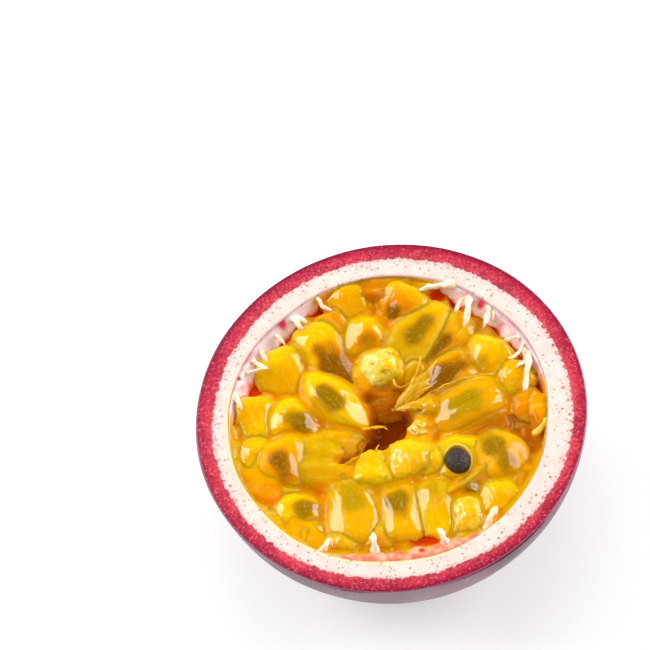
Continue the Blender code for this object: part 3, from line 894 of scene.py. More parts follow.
sacLook = {
    "grow": 1.5,  # a sac's free shape is this much wider on each side, so that sacs press on each other
    "flat": 0.72,  # a sac's height as a share of its width
    "square": 2.3,  # 2 gives a round section, more a boxier one
    "facetSoft": 0.05,  # how soft the edge of a flat place is
    "press": 0.06,  # how softly neighbours dent each other
    "wallGap": 0.1,  # how far the sacs stay from the wall
    "farAway": 9.0,  # where no neighbour counts
    "farthest": 1.6,  # how far a point may grow, as a share of the free shape
    "halvings": 13,  # how often the way out is halved to find where a point stops
    "heldFade": 0.12,  # how quickly unevenness fades out where a sac is pressed
    "grooveFade": 0.40,
    "lumps": 0.26,
    "folds": 0.15,
    "ripple": 0.04,
    "creases": 0.05,
    "crumples": ((0.45, 0.26), (1.1, 0.12), (2.2, 0.06)),  # scale and size of a crumpled sac's creases
    "seedThick": 1.3,
    "seedUnder": 1.4,  # how far under the sac's crown the seed's top lies
    "seedLong": 2.7,  # the longest and widest a seed inside a sac gets, half
    "seedWide": 1.8,
    "layerSacs": 26,  # more sacs lie under the ones that show
    "layerTurn": 137.5,  # degrees from each of them to the next
    "layerReach": 17.5,  # how far out the outer ones lie, and by how much less the next two rings
    "layerStep": 3.5,
    "layerWidth": 4.6,
    "layerTop": -4.8,
}
bareSeed = {
    "middle": (8.4, -9.5), "halfLength": 2.0, "halfWidth": 1.75, "heading": 100.0, "thick": 1.1,
    "lip": 0.45,  # how high the open sac's skin stands up round the seed
    "dip": 1.1,  # how far it dips under the seed
}
# open places in the hollow and at the wall: x, y, half sizes, heading, level of their floor
hollowHoles = (
    (0.3, -1.1, 2.3, 1.1, 48, -5.8), (-2.8, -3.0, 2.6, 1.1, 12, -6.0), (-6.4, -4.8, 2.3, 0.6, 16, -5.0),
    (-1.0, 4.6, 2.8, 0.8, 0, -3.6),
)
wallHoles = (
    (-5.9, 22.4, 1.2, 0.6, 30, -3.2), (-7.8, 20.6, 1.4, 0.4, 8, -3.2), (-13.2, 17.6, 1.6, 0.45, 45, -3.2),
    (-16.8, 15.8, 0.8, 0.4, 40, -3.0), (-18.4, 14.1, 0.6, 0.4, 45, -3.0), (-19.9, 9.6, 1.8, 0.9, 100, -3.2),
    (-23.0, 5.0, 0.9, 0.4, 80, -3.0), (10.4, 19.0, 0.8, 0.6, 0, -2.2), (13.0, 17.7, 1.2, 0.5, 100, -3.4),
    (15.6, 15.4, 0.7, 0.4, 0, -3.2), (18.8, 12.0, 2.0, 0.55, -58, -3.4), (20.6, 8.3, 0.9, 0.6, 90, -3.2),
    (20.2, 5.7, 0.8, 0.4, 0, -3.2), (22.6, 0.5, 1.3, 0.6, 100, -3.0), (2.0, -20.6, 1.6, 0.5, 0, -2.4),
)
holeMargin = 0.15  # how much wider a hole is cut than its row says
# how a wet place has to face for its sheen of the left box (-1) or the right box (1)
mirrorFacing = {-1: (-0.458, -0.035, 0.888), 1: (0.554, -0.160, 0.818)}


class Sac:
    def __init__(self, row, number):
        self.row = row
        self.number = number
        self.halfWidth = row["width"] / 2.0 + sacLook["grow"]
        self.halfHeight = self.halfWidth * sacLook["flat"]
        self.top = fruit["cut"] + row["top"]
        middleZ = self.top - self.halfHeight
        start = np.array([*row["wallEnd"], middleZ + row["dip"] * 0.35])
        end = np.array([*row["tip"], middleZ - row["dip"] * 0.65])
        along = (end - start) / np.linalg.norm(end - start)
        start = start - along * sacLook["grow"] * 0.5
        self.middle = (start + end) / 2.0
        self.halfLength = max(np.linalg.norm(end - start) / 2.0, self.halfWidth * 0.8)
        self.sizes = np.array([self.halfLength, self.halfWidth, self.halfHeight])
        side = np.cross(np.array([0.0, 0.0, 1.0]), along)
        side = side / np.linalg.norm(side)
        self.axes = np.stack([along, side, np.cross(along, side)])
        self.facets = self.randomFacets() + self.mirrorFacets()

    def randomFacets(self):
        # along, across and up of each flat place's facing, and how far out it lies
        rng = random.Random(self.number)
        facets = []
        for k in range(self.row["facets"]):
            turn = math.radians(15.0 + 150.0 * (k + rng.uniform(0.1, 0.9)) / self.row["facets"])
            lean = rng.uniform(-0.35, 0.35)
            facing = np.array([lean, math.cos(turn), math.sin(turn)])
            facets.append((*(facing / np.linalg.norm(facing)), rng.uniform(0.84, 0.95)))
        return facets

    def mirrorFacets(self):
        facets = []
        for side, distance in self.row["shine"]:
            scaled = (self.axes @ np.array(mirrorFacing[side])) * self.sizes
            facets.append((*(scaled / np.linalg.norm(scaled)), distance))
        return facets

    def local(self, points):
        return (points - self.middle) @ self.axes.T

    def shares(self, points):
        # along, across and up, each 1 at the free shape's end, side or crown
        local = self.local(points)
        along = local[:, 0] / self.halfLength
        held = np.clip(along, -1.0, 1.0)
        side = local[:, 1] - self.row["bend"] * (1.0 - held**2)
        narrow = 1.0 - self.row["taper"] * held
        return along, side / (self.halfWidth * narrow), local[:, 2] / (self.halfHeight * narrow)

    def outside(self, points):
        # rough distance out of the sac's own free shape, negative inside
        along, across, up = self.shares(points)
        power, square, soft = self.row["full"], sacLook["square"], sacLook["facetSoft"]
        section = (np.abs(across) ** square + np.abs(up) ** square) ** (power / square)
        reach = (np.abs(along) ** power + section) ** (1.0 / power) - 1.0
        for facingAlong, facingAcross, facingUp, distance in self.facets:
            cut = facingAlong * along + facingAcross * across + facingUp * up - distance
            reach = np.logaddexp(reach / soft, cut / soft) * soft
        return reach * self.halfWidth

    def seedMiddle(self):
        # how far along and to the side of the sac's middle its seed lies
        place = 2.0 * self.row["seed"][0] - 1.0
        return place * self.halfLength, self.row["seed"][1] + self.row["bend"] * (1.0 - place**2)

    def seedShare(self, points):
        # 1 in the middle of the place where the seed shows through, fading out round it
        _, _, halfLong, halfWide, strength, _ = self.row["seed"]
        local = self.local(points)
        middleAlong, middleSide = self.seedMiddle()
        along, across = local[:, 0] - middleAlong, local[:, 1] - middleSide
        wobbly = 0.10 * np.sin(along * 1.7 + self.number) + 0.08 * np.sin(across * 2.3 + 2.0 * self.number)
        reach = np.hypot(along / halfLong, across / halfWide) + wobbly
        return strength * smoothStep((1.45 - reach) / 1.15)

    def seedPlace(self):
        drop = self.halfHeight - sacLook["seedUnder"] - sacLook["seedThick"]
        return self.middle + self.axes.T @ np.array([*self.seedMiddle(), drop])


def wallRoom(points):
    # distance from the cavity's wall, positive inside
    angle = np.arctan2(points[:, 1], points[:, 0])
    height = np.minimum(points[:, 2], fruit["cut"])
    return liningRadius(angle, height) - sacLook["wallGap"] - np.hypot(points[:, 0], points[:, 1])


def holeGap(x, y, hole):
    # rough distance from a hole's edge, negative inside
    middleX, middleY, halfLong, halfWide, heading, _ = hole
    halfWide = halfWide + holeMargin
    return (ellipseReach(x, y, (middleX, middleY), halfLong, halfWide, heading) - 1.0) * halfWide


def unitSphere(subdivisions):
    bm = bmesh.new()
    bmesh.ops.create_icosphere(bm, subdivisions=subdivisions, radius=1.0)
    points = np.array([v.co[:] for v in bm.verts]) + np.array([0.0, 0.0, 0.5])  # closer together on top
    points /= np.linalg.norm(points, axis=1)[:, None]
    faces = np.array([[v.index for v in f.verts] for f in bm.faces])
    bm.free()
    return points, faces


def sacUneven(sac, points):
    # lumps, folds and ripples that run along the sac, with fine creases; a crumpled sac has deeper ones
    local = sac.local(points)
    folds = sac.row["folds"]
    uneven = noiseOf(points, 0.28, sac.number) * sacLook["lumps"] * sac.row["lumps"] * (1.0 + folds)
    uneven += noiseOf(local * np.array([0.12, 0.75, 0.75]), 1.0, sac.number + 31) * sacLook["folds"]
    uneven += noiseOf(points, 1.0, sac.number + 50) * sacLook["ripple"] * (1.0 + 2.0 * folds)
    crease = np.abs(noiseOf(local * np.array([0.14, 0.5, 0.5]), 1.0, sac.number + 90))
    uneven -= sacLook["creases"] * np.exp(-(crease / 0.05) ** 2)
    if folds > 0.15:
        for scale, size in sacLook["crumples"]:
            crease = np.abs(noiseOf(local * np.array([0.5, 1.0, 1.0]), scale, sac.number + 70))
            uneven += folds * size * (1.0 - 4.0 * np.minimum(crease, 0.25))
    return uneven


def growSac(sac, sacs, sphere):
    # every point moves out from the sac's middle until its neighbours, the wall and the holes hold it
    rays = (sphere * sac.sizes) @ sac.axes
    soft = sacLook["press"]
    near = [other for other in sacs if other is not sac and np.linalg.norm(
        other.middle - sac.middle) < sac.halfLength + other.halfLength + 2.0]
    holes = [hole for hole in hollowHoles + wallHoles if sac.top > fruit["cut"] - 4.0 and math.hypot(
        hole[0] - sac.middle[0], hole[1] - sac.middle[1]) < sac.halfLength + 3.0]

    def held(points):
        # how hard the points are pressed, and how far the nearest neighbour is
        gaps = [other.outside(points) for other in near]
        rooms = gaps + [wallRoom(points)] + [holeGap(points[:, 0], points[:, 1], hole) for hole in holes]
        push = sum(soft * np.logaddexp(0.0, -room / soft) for room in rooms)
        return push, np.minimum.reduce(gaps + [np.full(len(points), sacLook["farAway"])])

    low = np.zeros(len(rays))
    high = np.full(len(rays), sacLook["farthest"])
    for _ in range(sacLook["halvings"]):
        middle = (low + high) / 2.0
        points = sac.middle + rays * middle[:, None]
        inside = sac.outside(points) + held(points)[0] < 0.0
        low = np.where(inside, middle, low)
        high = np.where(inside, high, middle)
    points = sac.middle + rays * low[:, None]
    push, closest = held(points)
    outward = rays / np.linalg.norm(rays, axis=1)[:, None]
    openness = np.exp(-push / sacLook["heldFade"])
    points = points + outward * (sacUneven(sac, points) * openness)[:, None]
    return points, np.exp(-np.maximum(closest, 0.0) / sacLook["grooveFade"]), closest


def paintSac(sac, points, groove, closest):
    # base colour along the sac, painted shade in its grooves and down its sides, a painted highlight line
    # along its edge, and where the seed shows through with its own colour
    row = sac.row
    along, across, _ = sac.shares(points)
    first, last = (toneOf(name) for name in row["ends"])
    share = smoothStep((along + 0.55 + 0.25 * np.sin(across * 2.0 + sac.number)) / 1.1)
    colour = tinted(np.broadcast_to(first, points.shape), last, share)
    dark = colour * 0.6
    seedShare = np.zeros(len(points))
    if row["seed"]:
        seedTone = row["seed"][5]
        seedShare = sac.seedShare(points)
        dark = np.zeros_like(colour) + toneOf(seedTone)
        halo = toneOf("amber" if seedTone == "seedBrown" else "olive")
        colour = tinted(colour, halo, 0.6 * smoothStep(seedShare / 0.4))
    crumpled = smoothStep(row["folds"] / 0.5 - 0.6)
    # painted shade: in its grooves and lower down its sides the colour turns towards its shade tone
    under = smoothStep((sac.top - 0.7 - points[:, 2]) / 2.6) * (1.0 - 0.7 * crumpled)
    glow = toneOf(row["glow"]) * (0.30 + 0.70 * colour.max(axis=1)[:, None])
    colour = tinted(tinted(colour, glow, groove * 0.75), glow, under * 0.75)
    # painted highlight: a pale line along its edge, a little way from the neighbour
    band = np.exp(-((closest - 0.35) / 0.16) ** 2) * smoothStep((points[:, 2] - sac.top + 2.6) / 1.0)
    colour = tinted(colour, toneOf("pale"), 0.7 * row["rim"] * band)
    return np.clip(colour, 0.0, 1.0), dark, seedShare * (1.0 - 0.5 * groove) * (1.0 - 0.4 * under)


def wetShare(sac, points):
    # some sacs have lost their shine on the side that faces left or right
    outward = points - sac.middle
    turn = outward[:, 0] / np.linalg.norm(outward, axis=1)
    left, right = sac.row["dull"]
    return 1.0 - left * smoothStep(0.5 - 3.0 * turn) - right * smoothStep(0.5 + 3.0 * turn)


def makeSacMaterial(name, coat):
    material, tree, shader = newMaterial(name)
    tone = attributeOf(tree, "tone", "Color")
    seedShare = attributeOf(tree, "seedShare")
    drawn = addNode(tree, "ShaderNodeMapping", {
        "Vector": attributeOf(tree, "flow", "Vector"), "Scale": (0.28, 1.0, 1.0)}).outputs[0]
    cloudy = noiseAt(tree, 260.0, 3.0)
    strands = noiseAt(tree, 1.6, 4.0, 0.62, 0.6, drawn)  # these two run along each sac
    threads = noiseAt(tree, 4.5, 3.0, 0.6, 0.4, drawn)
    # a seed darkens the skin over it, with a fibrous border and pale specks over its pits, a painted sparkle
    fibres = total(tree, product(tree, strands, 0.5), product(tree, threads, 0.3))
    shown = between(tree, total(tree, seedShare, less(tree, fibres, 0.4)), 0.12, 0.82)
    shown = product(tree, shown, between(tree, seedShare, 0.0, 0.2))
    tone = mixColours(tree, shown, tone, attributeOf(tree, "seedTone", "Color"))
    # painted sparkle: pale specks over the seed
    grain = product(tree, between(tree, noiseAt(tree, 2600.0, 2.0), 0.58, 0.70, 0.0, 0.22), shown)
    tone = mixColours(tree, grain, tone, linear(236, 206, 96))
    lighter = mixColours(tree, 1.0, tone, (1.0, 0.90, 0.34, 1.0), "SCREEN")
    darker = mixColours(tree, 1.0, tone, (0.95, 0.76, 0.5, 1.0), "MULTIPLY")
    colour = stained(tree, tone, darker, cloudy, 0.55, 0.30, 0.40)
    colour = stained(tree, colour, darker, strands, 0.50, 0.32, 0.30)
    colour = stained(tree, colour, lighter, strands, 0.56, 0.72, 0.16)
    colour = stained(tree, colour, lighter, threads, 0.56, 0.74, 0.16)
    # a crumpled skin has pale crests, a painted highlight on its wrinkles
    wrinkled = mathNode(tree, "ABSOLUTE", less(tree, noiseAt(tree, 520.0, 4.0, 0.6, 1.5), 0.5))
    crumple = between(tree, attributeOf(tree, "crumple"), 0.35, 0.9)
    crest = product(tree, between(tree, wrinkled, 0.06, 0.0), crumple)
    colour = mixColours(tree, product(tree, crest, 0.4), colour, lighter)
    height = total(tree, cloudy, *(
        product(tree, field, size) for field, size in ((strands, 1.1), (crest, 0.8), (threads, 0.3))))
    # the wet look ends down in the hollow
    level = coordinateAlong(tree, "Z")
    wet = between(tree, level, (fruit["cut"] - 4.2) * mm, (fruit["cut"] - 2.6) * mm, 0.12 * coat, coat)
    feed(tree, shader, {
        "Base Color": colour, "Roughness": 0.32, "Normal": bumpOf(tree, height, 0.22, 0.0004),
        "Specular IOR Level": 0.0, "Coat Weight": product(tree, wet, attributeOf(tree, "sheen")),
        "Subsurface Weight": 0.8, "Subsurface Radius": (1.0, 0.75, 0.08), "Subsurface Scale": 0.0021,
        "Coat Roughness": 0.035, "Coat IOR": 1.56})
    return material


def layerRows():
    # the sacs underneath stand in rings, each turned on from the last by the same angle
    rng = random.Random(11)
    rows = []
    for k in range(sacLook["layerSacs"]):
        turn = math.radians(k * sacLook["layerTurn"])
        inward = sacLook["layerStep"] * (k % 3)
        reach = sacLook["layerReach"] - inward
        level = sacLook["layerTop"] - 1.2 * rng.random() - 0.10 * inward
        wallEnd = ((reach + 3.0) * math.cos(turn), (reach + 3.0) * math.sin(turn))
        tip = ((reach - 3.5) * math.cos(turn + 0.15), (reach - 3.5) * math.sin(turn + 0.15))
        rows.append(sac(wallEnd, tip, sacLook["layerWidth"], level, 1.2, ends=("amber", "amber")))
    return rows


def openSocket(points, colour):
    # the open sac's skin dips under the bare seed and stands up as a pale lip round it, widest on the right;
    # where it dips it is painted dark as shade
    x, y = points[:, 0], points[:, 1]
    middle = bareSeed["middle"]
    reach = ellipseReach(x, y, middle, bareSeed["halfLength"], bareSeed["halfWidth"], bareSeed["heading"])
    facing = smoothStep((points[:, 2] - fruit["cut"] + 3.2) / 1.5)
    right = smoothStep(0.35 + 0.5 * (x - middle[0] + 0.45 * (y - middle[1])))
    lip = (0.03 + bareSeed["lip"] * right) * np.exp(-((reach - 1.22) / 0.13) ** 2)
    dip = bareSeed["dip"] * smoothStep((1.12 - reach) / 0.25)
    points[:, 2] += facing * (lip - dip)
    pale = facing * np.exp(-((reach - 1.25) / 0.14) ** 2) * right
    colour = tinted(colour, toneOf("pale"), pale * 0.8)
    # painted shade: dark brown where the skin dips under the seed
    return points, tinted(colour, toneOf("deep"), facing * smoothStep((1.10 - reach) / 0.12))


def makeSacs():
    material = makeSacMaterial("sacs", 1.0)
    everySac = [Sac(row, number) for number, row in enumerate(sacRows + tuple(layerRows()))]
    shown = everySac[:len(sacRows)]
    large = [one for one in shown if one.row["seed"] or one.row["width"] > 5.5]
    small = [one for one in shown if one not in large]
    under = everySac[len(sacRows):]
    shownMeshes = []
    for name, group, subdivisions in (("sacs", large, 5), ("smallSacs", small, 5), ("sacsUnder", under, 4)):
        sphere, faces = unitSphere(subdivisions)
        meshes, values = [], {}
        for one in group:
            points, groove, closest = growSac(one, everySac, sphere)
            colour, dark, share = paintSac(one, points, groove, closest)
            if one.row["open"]:
                points, colour = openSocket(points, colour)
            meshes.append((points, faces))
            for key, rows in {
                    "tone": solidColours(colour), "seedTone": solidColours(dark), "seedShare": share,
                    "flow": one.local(points) + 37.0 * one.number,
                    "crumple": np.full(len(points), one.row["folds"]),
                    "sheen": (1.0 - 0.75 * groove) * wetShare(one, points)}.items():
                values.setdefault(key, []).append(rows)
        points, allFaces = joinMeshes(meshes)
        piece = makeObject(name, points, allFaces, material)
        for key, rows in values.items():
            setAttribute(piece, key, np.concatenate(rows))
        fixPiece(piece, "pulp", *(["pulp"] if group is large else []))
        print(f"  {name}: {len(group)} sacs, {len(allFaces)} triangles")
        if group is not under:
            shownMeshes += meshes
    return everySac, shownMeshes


everySac, sacMeshes = makeSacs()
report("juice sacs")

seedLook = {"Detail": 4, "Pit Depth": 0.02}


def makeSeedMaterial():
    material, tree, shader = newMaterial("seeds")
    pits, _ = cellsAt(tree, 3000.0)
    colour = mixColours(tree, noiseAt(tree, 700.0, 3.0), linear(30, 20, 18), linear(64, 44, 40))
    colour = stained(tree, colour, linear(84, 66, 60), pits, 0.1, 0.5, 0.4)
    feed(tree, shader, {
        "Base Color": colour, "Roughness": 0.45, "Normal": bumpOf(tree, pits, 0.8, 0.00025),
        "Coat Weight": 0.2, "Coat Roughness": 0.3})
    return material


# Geometry Nodes trees: one opens with named inputs, and the other ends in real meshes with their material
def openTree(name, inputs):
    tree = bpy.data.node_groups.new(name, "GeometryNodeTree")
    tree.interface.new_socket("Geometry", in_out="INPUT", socket_type="NodeSocketGeometry")
    for label, value in inputs.items():
        kind = "NodeSocketInt" if isinstance(value, int) else "NodeSocketFloat"
        tree.interface.new_socket(label, in_out="INPUT", socket_type=kind).default_value = value
    tree.interface.new_socket("Geometry", in_out="OUTPUT", socket_type="NodeSocketGeometry")
    return tree, tree.nodes.new("NodeGroupInput").outputs


def closeTree(tree, geometry, material):
    real = addNode(tree, "GeometryNodeRealizeInstances", {"Geometry": geometry})
    dressed = addNode(tree, "GeometryNodeSetMaterial", {"Geometry": real.outputs[0], "Material": material})
    addNode(tree, "NodeGroupOutput", {0: dressed.outputs[0]})


def movedBy(tree, geometry, direction, size):
    offset = vectorNode(tree, "SCALE", {0: direction, "Scale": size})[0]
    return addNode(tree, "GeometryNodeSetPosition", {"Geometry": geometry, "Offset": offset}).outputs[0]


def seedTree(material, inputs):
    # one pitted seed on every point, turned and sized by the point's own values
    tree, entry = openTree("seedOnPoints", inputs)
    ball = addNode(tree, "GeometryNodeMeshIcoSphere", {"Radius": 1.0, "Subdivisions": entry["Detail"]})
    place = addNode(tree, "GeometryNodeInputPosition").outputs[0]
    bumps = addNode(tree, "ShaderNodeTexNoise", {"Vector": place, "Scale": 3.2, "Detail": 2.0})
    push = product(tree, less(tree, bumps.outputs["Fac"], 0.5), entry["Pit Depth"])
    turn, size = (addNode(tree, "GeometryNodeInputNamedAttribute", {"Name": name}, data_type="FLOAT_VECTOR")
                  for name in ("turn", "size"))
    toTurn = addNode(tree, "FunctionNodeEulerToRotation", {"Euler": turn.outputs["Attribute"]})
    spread = addNode(tree, "GeometryNodeInstanceOnPoints", {
        "Points": entry["Geometry"], "Instance": movedBy(tree, ball.outputs["Mesh"], place, push),
        "Rotation": toTurn.outputs[0], "Scale": size.outputs["Attribute"]})
    closeTree(tree, spread.outputs[0], material)
    return tree


def runNodes(holder, tree, inputs, name, slotName):
    # the modifier's result becomes a plain mesh, and the helper object goes
    modifier = holder.modifiers.new("make", "NODES")
    modifier.node_group = tree
    for item in tree.interface.items_tree:
        if item.in_out == "INPUT" and item.name in inputs:
            modifier[item.identifier] = inputs[item.name]
    evaluated = holder.evaluated_get(bpy.context.evaluated_depsgraph_get())
    mesh = bpy.data.meshes.new_from_object(evaluated)
    mesh.name = name
    holder.modifiers.remove(modifier)
    bpy.data.objects.remove(holder)
    made = linkObject(name, mesh)
    fixNormals(made)
    mesh.shade_smooth()
    fixPiece(made, slotName)


def makeSeeds():
    points, turns, sizes = [], [], []
    for one in everySac[:len(sacRows)]:
        if one.row["seed"] and 0.3 < one.row["seed"][0] < 0.7:
            _, _, halfLong, halfWide, _, _ = one.row["seed"]
            points.append(one.seedPlace())
            turns.append(Matrix(one.axes.tolist()).transposed().to_euler()[:])
            sizes.append((
                min(halfLong, sacLook["seedLong"]), min(halfWide, sacLook["seedWide"]), sacLook["seedThick"]))
    points.append((*bareSeed["middle"], fruit["cut"] - bareSeed["thick"]))
    turns.append((0.0, 0.0, math.radians(bareSeed["heading"])))
    sizes.append((bareSeed["halfLength"], bareSeed["halfWidth"], bareSeed["thick"]))
    mesh = bpy.data.meshes.new("seedPoints")
    mesh.from_pydata((np.array(points) * mm).tolist(), [], [])
    holder = linkObject("seedPoints", mesh)
    setAttribute(holder, "turn", turns)
    setAttribute(holder, "size", np.array(sizes) * mm)
    runNodes(holder, seedTree(makeSeedMaterial(), seedLook), seedLook, "seeds", "pulp")


makeSeeds()
report("seeds")

# pegs: pale strands that held the sacs to the wall; each is its thickness and a run of x, y, level
pegRuns = (
    (0.8, (-12.6, 19.6, -1.9), (-11.6, 18.6, -0.6), (-10.7, 17.1, -1.0)),
    (0.5, (-12.0, 19.8, -1.9), (-10.8, 18.9, -0.6), (-10.0, 18.0, -0.9)),
    (0.5, (-8.2, 22.4, -1.9), (-7.6, 21.6, -0.7), (-7.2, 20.4, -0.8), (-6.0, 19.6, -1.3)),
    (0.6, (-15.2, 17.6, -1.9), (-14.6, 16.6, -0.8), (-14.0, 15.2, -1.2)),
    (0.7, (-19.4, 14.2, -1.9), (-18.6, 12.9, -0.7), (-17.4, 11.6, -1.1)),
    (0.5, (-20.8, 11.6, -1.9), (-19.2, 11.2, -0.5), (-16.8, 11.7, -0.8)),
    (0.6, (-17.6, 15.4, -1.9), (-17.4, 14.0, -0.8), (-17.0, 12.9, -1.1)),
    (0.8, (-22.4, 9.0, -1.9), (-22.1, 7.4, -0.8), (-21.8, 5.4, -1.0)),
    (1.0, (14.4, 19.6, -1.6), (12.6, 19.6, -0.4), (10.4, 19.7, -0.4), (8.0, 19.8, -0.6)),
    (0.9, (15.4, 17.6, -1.9), (14.8, 15.8, -0.3), (14.2, 14.0, -0.4), (13.6, 12.4, -0.8)),
    (0.5, (15.2, 17.8, -1.9), (13.6, 16.6, -0.6), (12.6, 15.2, -1.0)),
    (0.8, (17.2, 15.4, -1.9), (17.4, 14.0, -0.5), (17.0, 12.6, -0.6), (16.3, 11.7, -0.9)),
    (0.6, (17.8, 15.0, -1.9), (18.0, 13.6, -0.7), (17.9, 12.6, -1.2)),
    (0.6, (21.6, 9.2, -1.9), (20.6, 8.6, -0.4), (18.9, 8.4, -0.7)),
    (0.5, (21.8, 8.4, -1.9), (21.2, 6.8, -0.3), (20.2, 5.6, -0.3), (18.9, 5.4, -0.7)),
    (0.9, (22.2, 6.6, -1.7), (21.6, 4.0, -0.4), (21.1, 2.0, -0.4), (20.3, -0.2, -0.8)),
    (0.5, (22.0, 5.0, -1.7), (20.9, 4.2, -0.5), (19.7, 3.7, -0.8)),
    (1.0, (10.8, -21.0, -2.0), (11.4, -19.8, -0.4), (12.4, -18.4, -0.5)),
    (1.0, (4.5, -21.9, -2.0), (4.3, -21.2, -0.5), (4.1, -20.1, -0.5)),
    (0.95, (-6.0, -21.4, -2.0), (-5.9, -20.4, -0.5), (-6.0, -18.9, -0.5)),
    (0.9, (-13.6, -19.6, -2.0), (-12.9, -19.2, -0.9), (-12.3, -18.6, -0.9)),
)
# thin torn strands across the hollow and between sacs
strandRuns = (
    (0.16, (6.2, 9.0, -1.5), (4.8, 6.0, -1.5), (3.0, 3.6, -1.7), (0.8, 1.9, -2.5)),
    (0.14, (8.4, 7.6, -1.4), (5.6, 5.2, -1.3), (3.2, 3.0, -1.7), (1.2, 1.8, -2.4)),
    (0.14, (7.0, 3.6, -1.5), (5.0, 3.0, -1.4), (2.4, 2.0, -2.0)),
    (0.20, (1.4, 6.3, -1.9), (1.9, 4.9, -2.1), (3.0, 4.7, -1.9), (5.0, 6.0, -1.4)),
    (0.22, (-3.4, -1.2, -1.8), (-2.0, -1.0, -2.2), (-0.8, -1.4, -3.0)),
    (0.24, (-3.2, -5.4, -1.2), (-2.8, -4.7, -1.5), (-2.5, -4.1, -2.1)),
    (0.18, (16.6, 3.0, -0.3), (12.6, 3.4, -0.5), (8.6, 2.9, -0.7), (4.4, 1.6, -1.2)),
    (0.9, (22.4, -6.0, -1.5), (21.2, -6.9, -1.2), (20.0, -7.6, -1.5)),
)
pegLook = {"strands": 3, "spread": 0.26, "thin": 0.85}  # each peg is several strands that part a little
strandLook = {"Step": 0.16 * mm, "Uneven": 0.5 * mm, "Root Width": 1.9, "Sides": 8}


def makeStrandMaterial(name, light, dark):
    material, tree, shader = newMaterial(name)
    cloudy = noiseAt(tree, 600.0, 3.0)
    feed(tree, shader, {
        "Base Color": stained(tree, light, dark, cloudy, 0.35, 0.65), "Roughness": 0.4,
        "Normal": bumpOf(tree, cloudy, 0.3, 0.0003), "Specular IOR Level": 0.0,
        "Coat Weight": 0.8, "Coat Roughness": 0.1})
    return material


def strandTree(material, inputs):
    # a tube along each curve, thick at its root, rounded at its tip and a little uneven
    tree, entry = openTree("strandTubes", inputs)
    evenCurve = addNode(tree, "GeometryNodeResampleCurve", {
        "Curve": entry["Geometry"], "Length": entry["Step"]}, mode="LENGTH")
    along = addNode(tree, "GeometryNodeSplineParameter").outputs["Factor"]
    root = product(tree, less(tree, 0.45, along, clamp=True), 2.2)
    width = total(tree, 1.0, product(tree, root, less(tree, entry["Root Width"], 1.0)))
    tip = mathNode(tree, "SQRT", mathNode(tree, "MULTIPLY", less(tree, 1.002, along), 7.0, clamp=True))
    radius = addNode(tree, "GeometryNodeInputRadius").outputs[0]
    ring = addNode(tree, "GeometryNodeCurvePrimitiveCircle", {"Radius": 1.0, "Resolution": entry["Sides"]})
    tube = addNode(tree, "GeometryNodeCurveToMesh", {
        "Curve": evenCurve.outputs[0], "Profile Curve": ring.outputs[0], "Fill Caps": True,
        "Scale": product(tree, width, tip, radius)})
    wave = addNode(tree, "ShaderNodeTexNoise", {"Scale": 900.0, "Detail": 1.0}).outputs["Color"]
    centred = vectorNode(tree, "SUBTRACT", {0: wave, 1: (0.5, 0.5, 0.5)})[0]
    closeTree(tree, movedBy(tree, tube.outputs[0], centred, entry["Uneven"]), material)
    return tree


def makeStrands(name, runs, material, slotName, strands=1, spread=0.0, thin=1.0):
    # a Bezier curve through each run, or several that part a little from it
    rng = random.Random(5)
    curve = bpy.data.curves.new(name, "CURVE")
    curve.dimensions = "3D"
    for thickness, *run in runs:
        for _ in range(strands):
            spline = curve.splines.new("BEZIER")
            spline.bezier_points.add(len(run) - 1)
            for k, (point, (x, y, level)) in enumerate(zip(spline.bezier_points, run)):
                away = spread * thickness * (1.6 if k in (0, len(run) - 1) else 1.0)
                beside = [value + rng.uniform(-away, away) for value in (x, y)]
                point.co = Vector((*beside, level + fruit["cut"])) * mm
                point.handle_left_type = point.handle_right_type = "AUTO"
                point.radius = thickness * rng.uniform(0.8, 1.15) * thin / 2.0 * mm
    runNodes(linkObject(name + "Runs", curve), strandTree(material, strandLook), strandLook, name, slotName)


pegMaterial = makeStrandMaterial("pegs", linear(255, 246, 226), linear(252, 226, 184))
strandMaterial = makeStrandMaterial("strands", linear(246, 212, 84), linear(222, 168, 10))
makeStrands("pegs", pegRuns, pegMaterial, "lining", **pegLook)
makeStrands("strands", strandRuns, strandMaterial, "pulp")
report("pegs and strands")

# torn skins: tone, how many degrees they lean, and a run of x, y, level, half width
flapRows = (
    ("olive", 10, (8.4, 6.4, -2.6, 0.6), (5.4, 4.8, -1.5, 1.4), (2.6, 2.7, -1.9, 0.9), (0.3, 1.6, -2.9, 0.1)),
    ("olive", -10, (7.2, 0.6, -2.4, 0.4), (4.4, 1.2, -1.5, 0.9), (2.2, 1.3, -2, 0.6), (0.8, 1.5, -2.8, 0.1)),
    ("yellow", 30, (-4.6, -1.3, -1.4, 0.4), (-2.8, -1.2, -1.8, 0.3), (-1.0, -1.1, -2.4, 0.08)),
    ("olive", 20, (-7.9, -6.4, -1.4, 0.2), (-5.8, -5.7, -1.5, 0.35), (-3.8, -5.2, -1.8, 0.12)),
)
flapLook = {
    "along": 40, "across": 25, "thick": 0.10, "ragged": 0.25, "curl": 0.55, "pleat": 0.09, "crumple": 0.075,
    "narrowest": 0.08, "pleatsLong": 0.28, "pleatsWide": 3.2}


def alongRun(run, share):
    # a smooth way through the run's points
    run = np.array(run)
    place = share * (len(run) - 1)
    k = np.minimum(place.astype(int), len(run) - 2)
    before, after = run[np.maximum(k - 1, 0)], run[np.minimum(k + 2, len(run) - 1)]
    first, last = run[k], run[k + 1]
    t = (place - k)[:, None]
    return 0.5 * (2.0 * first + (last - before) * t + (2.0 * before - 5.0 * first + 4.0 * last - after) * t**2
                  + (3.0 * first - before - 3.0 * last + after) * t**3)


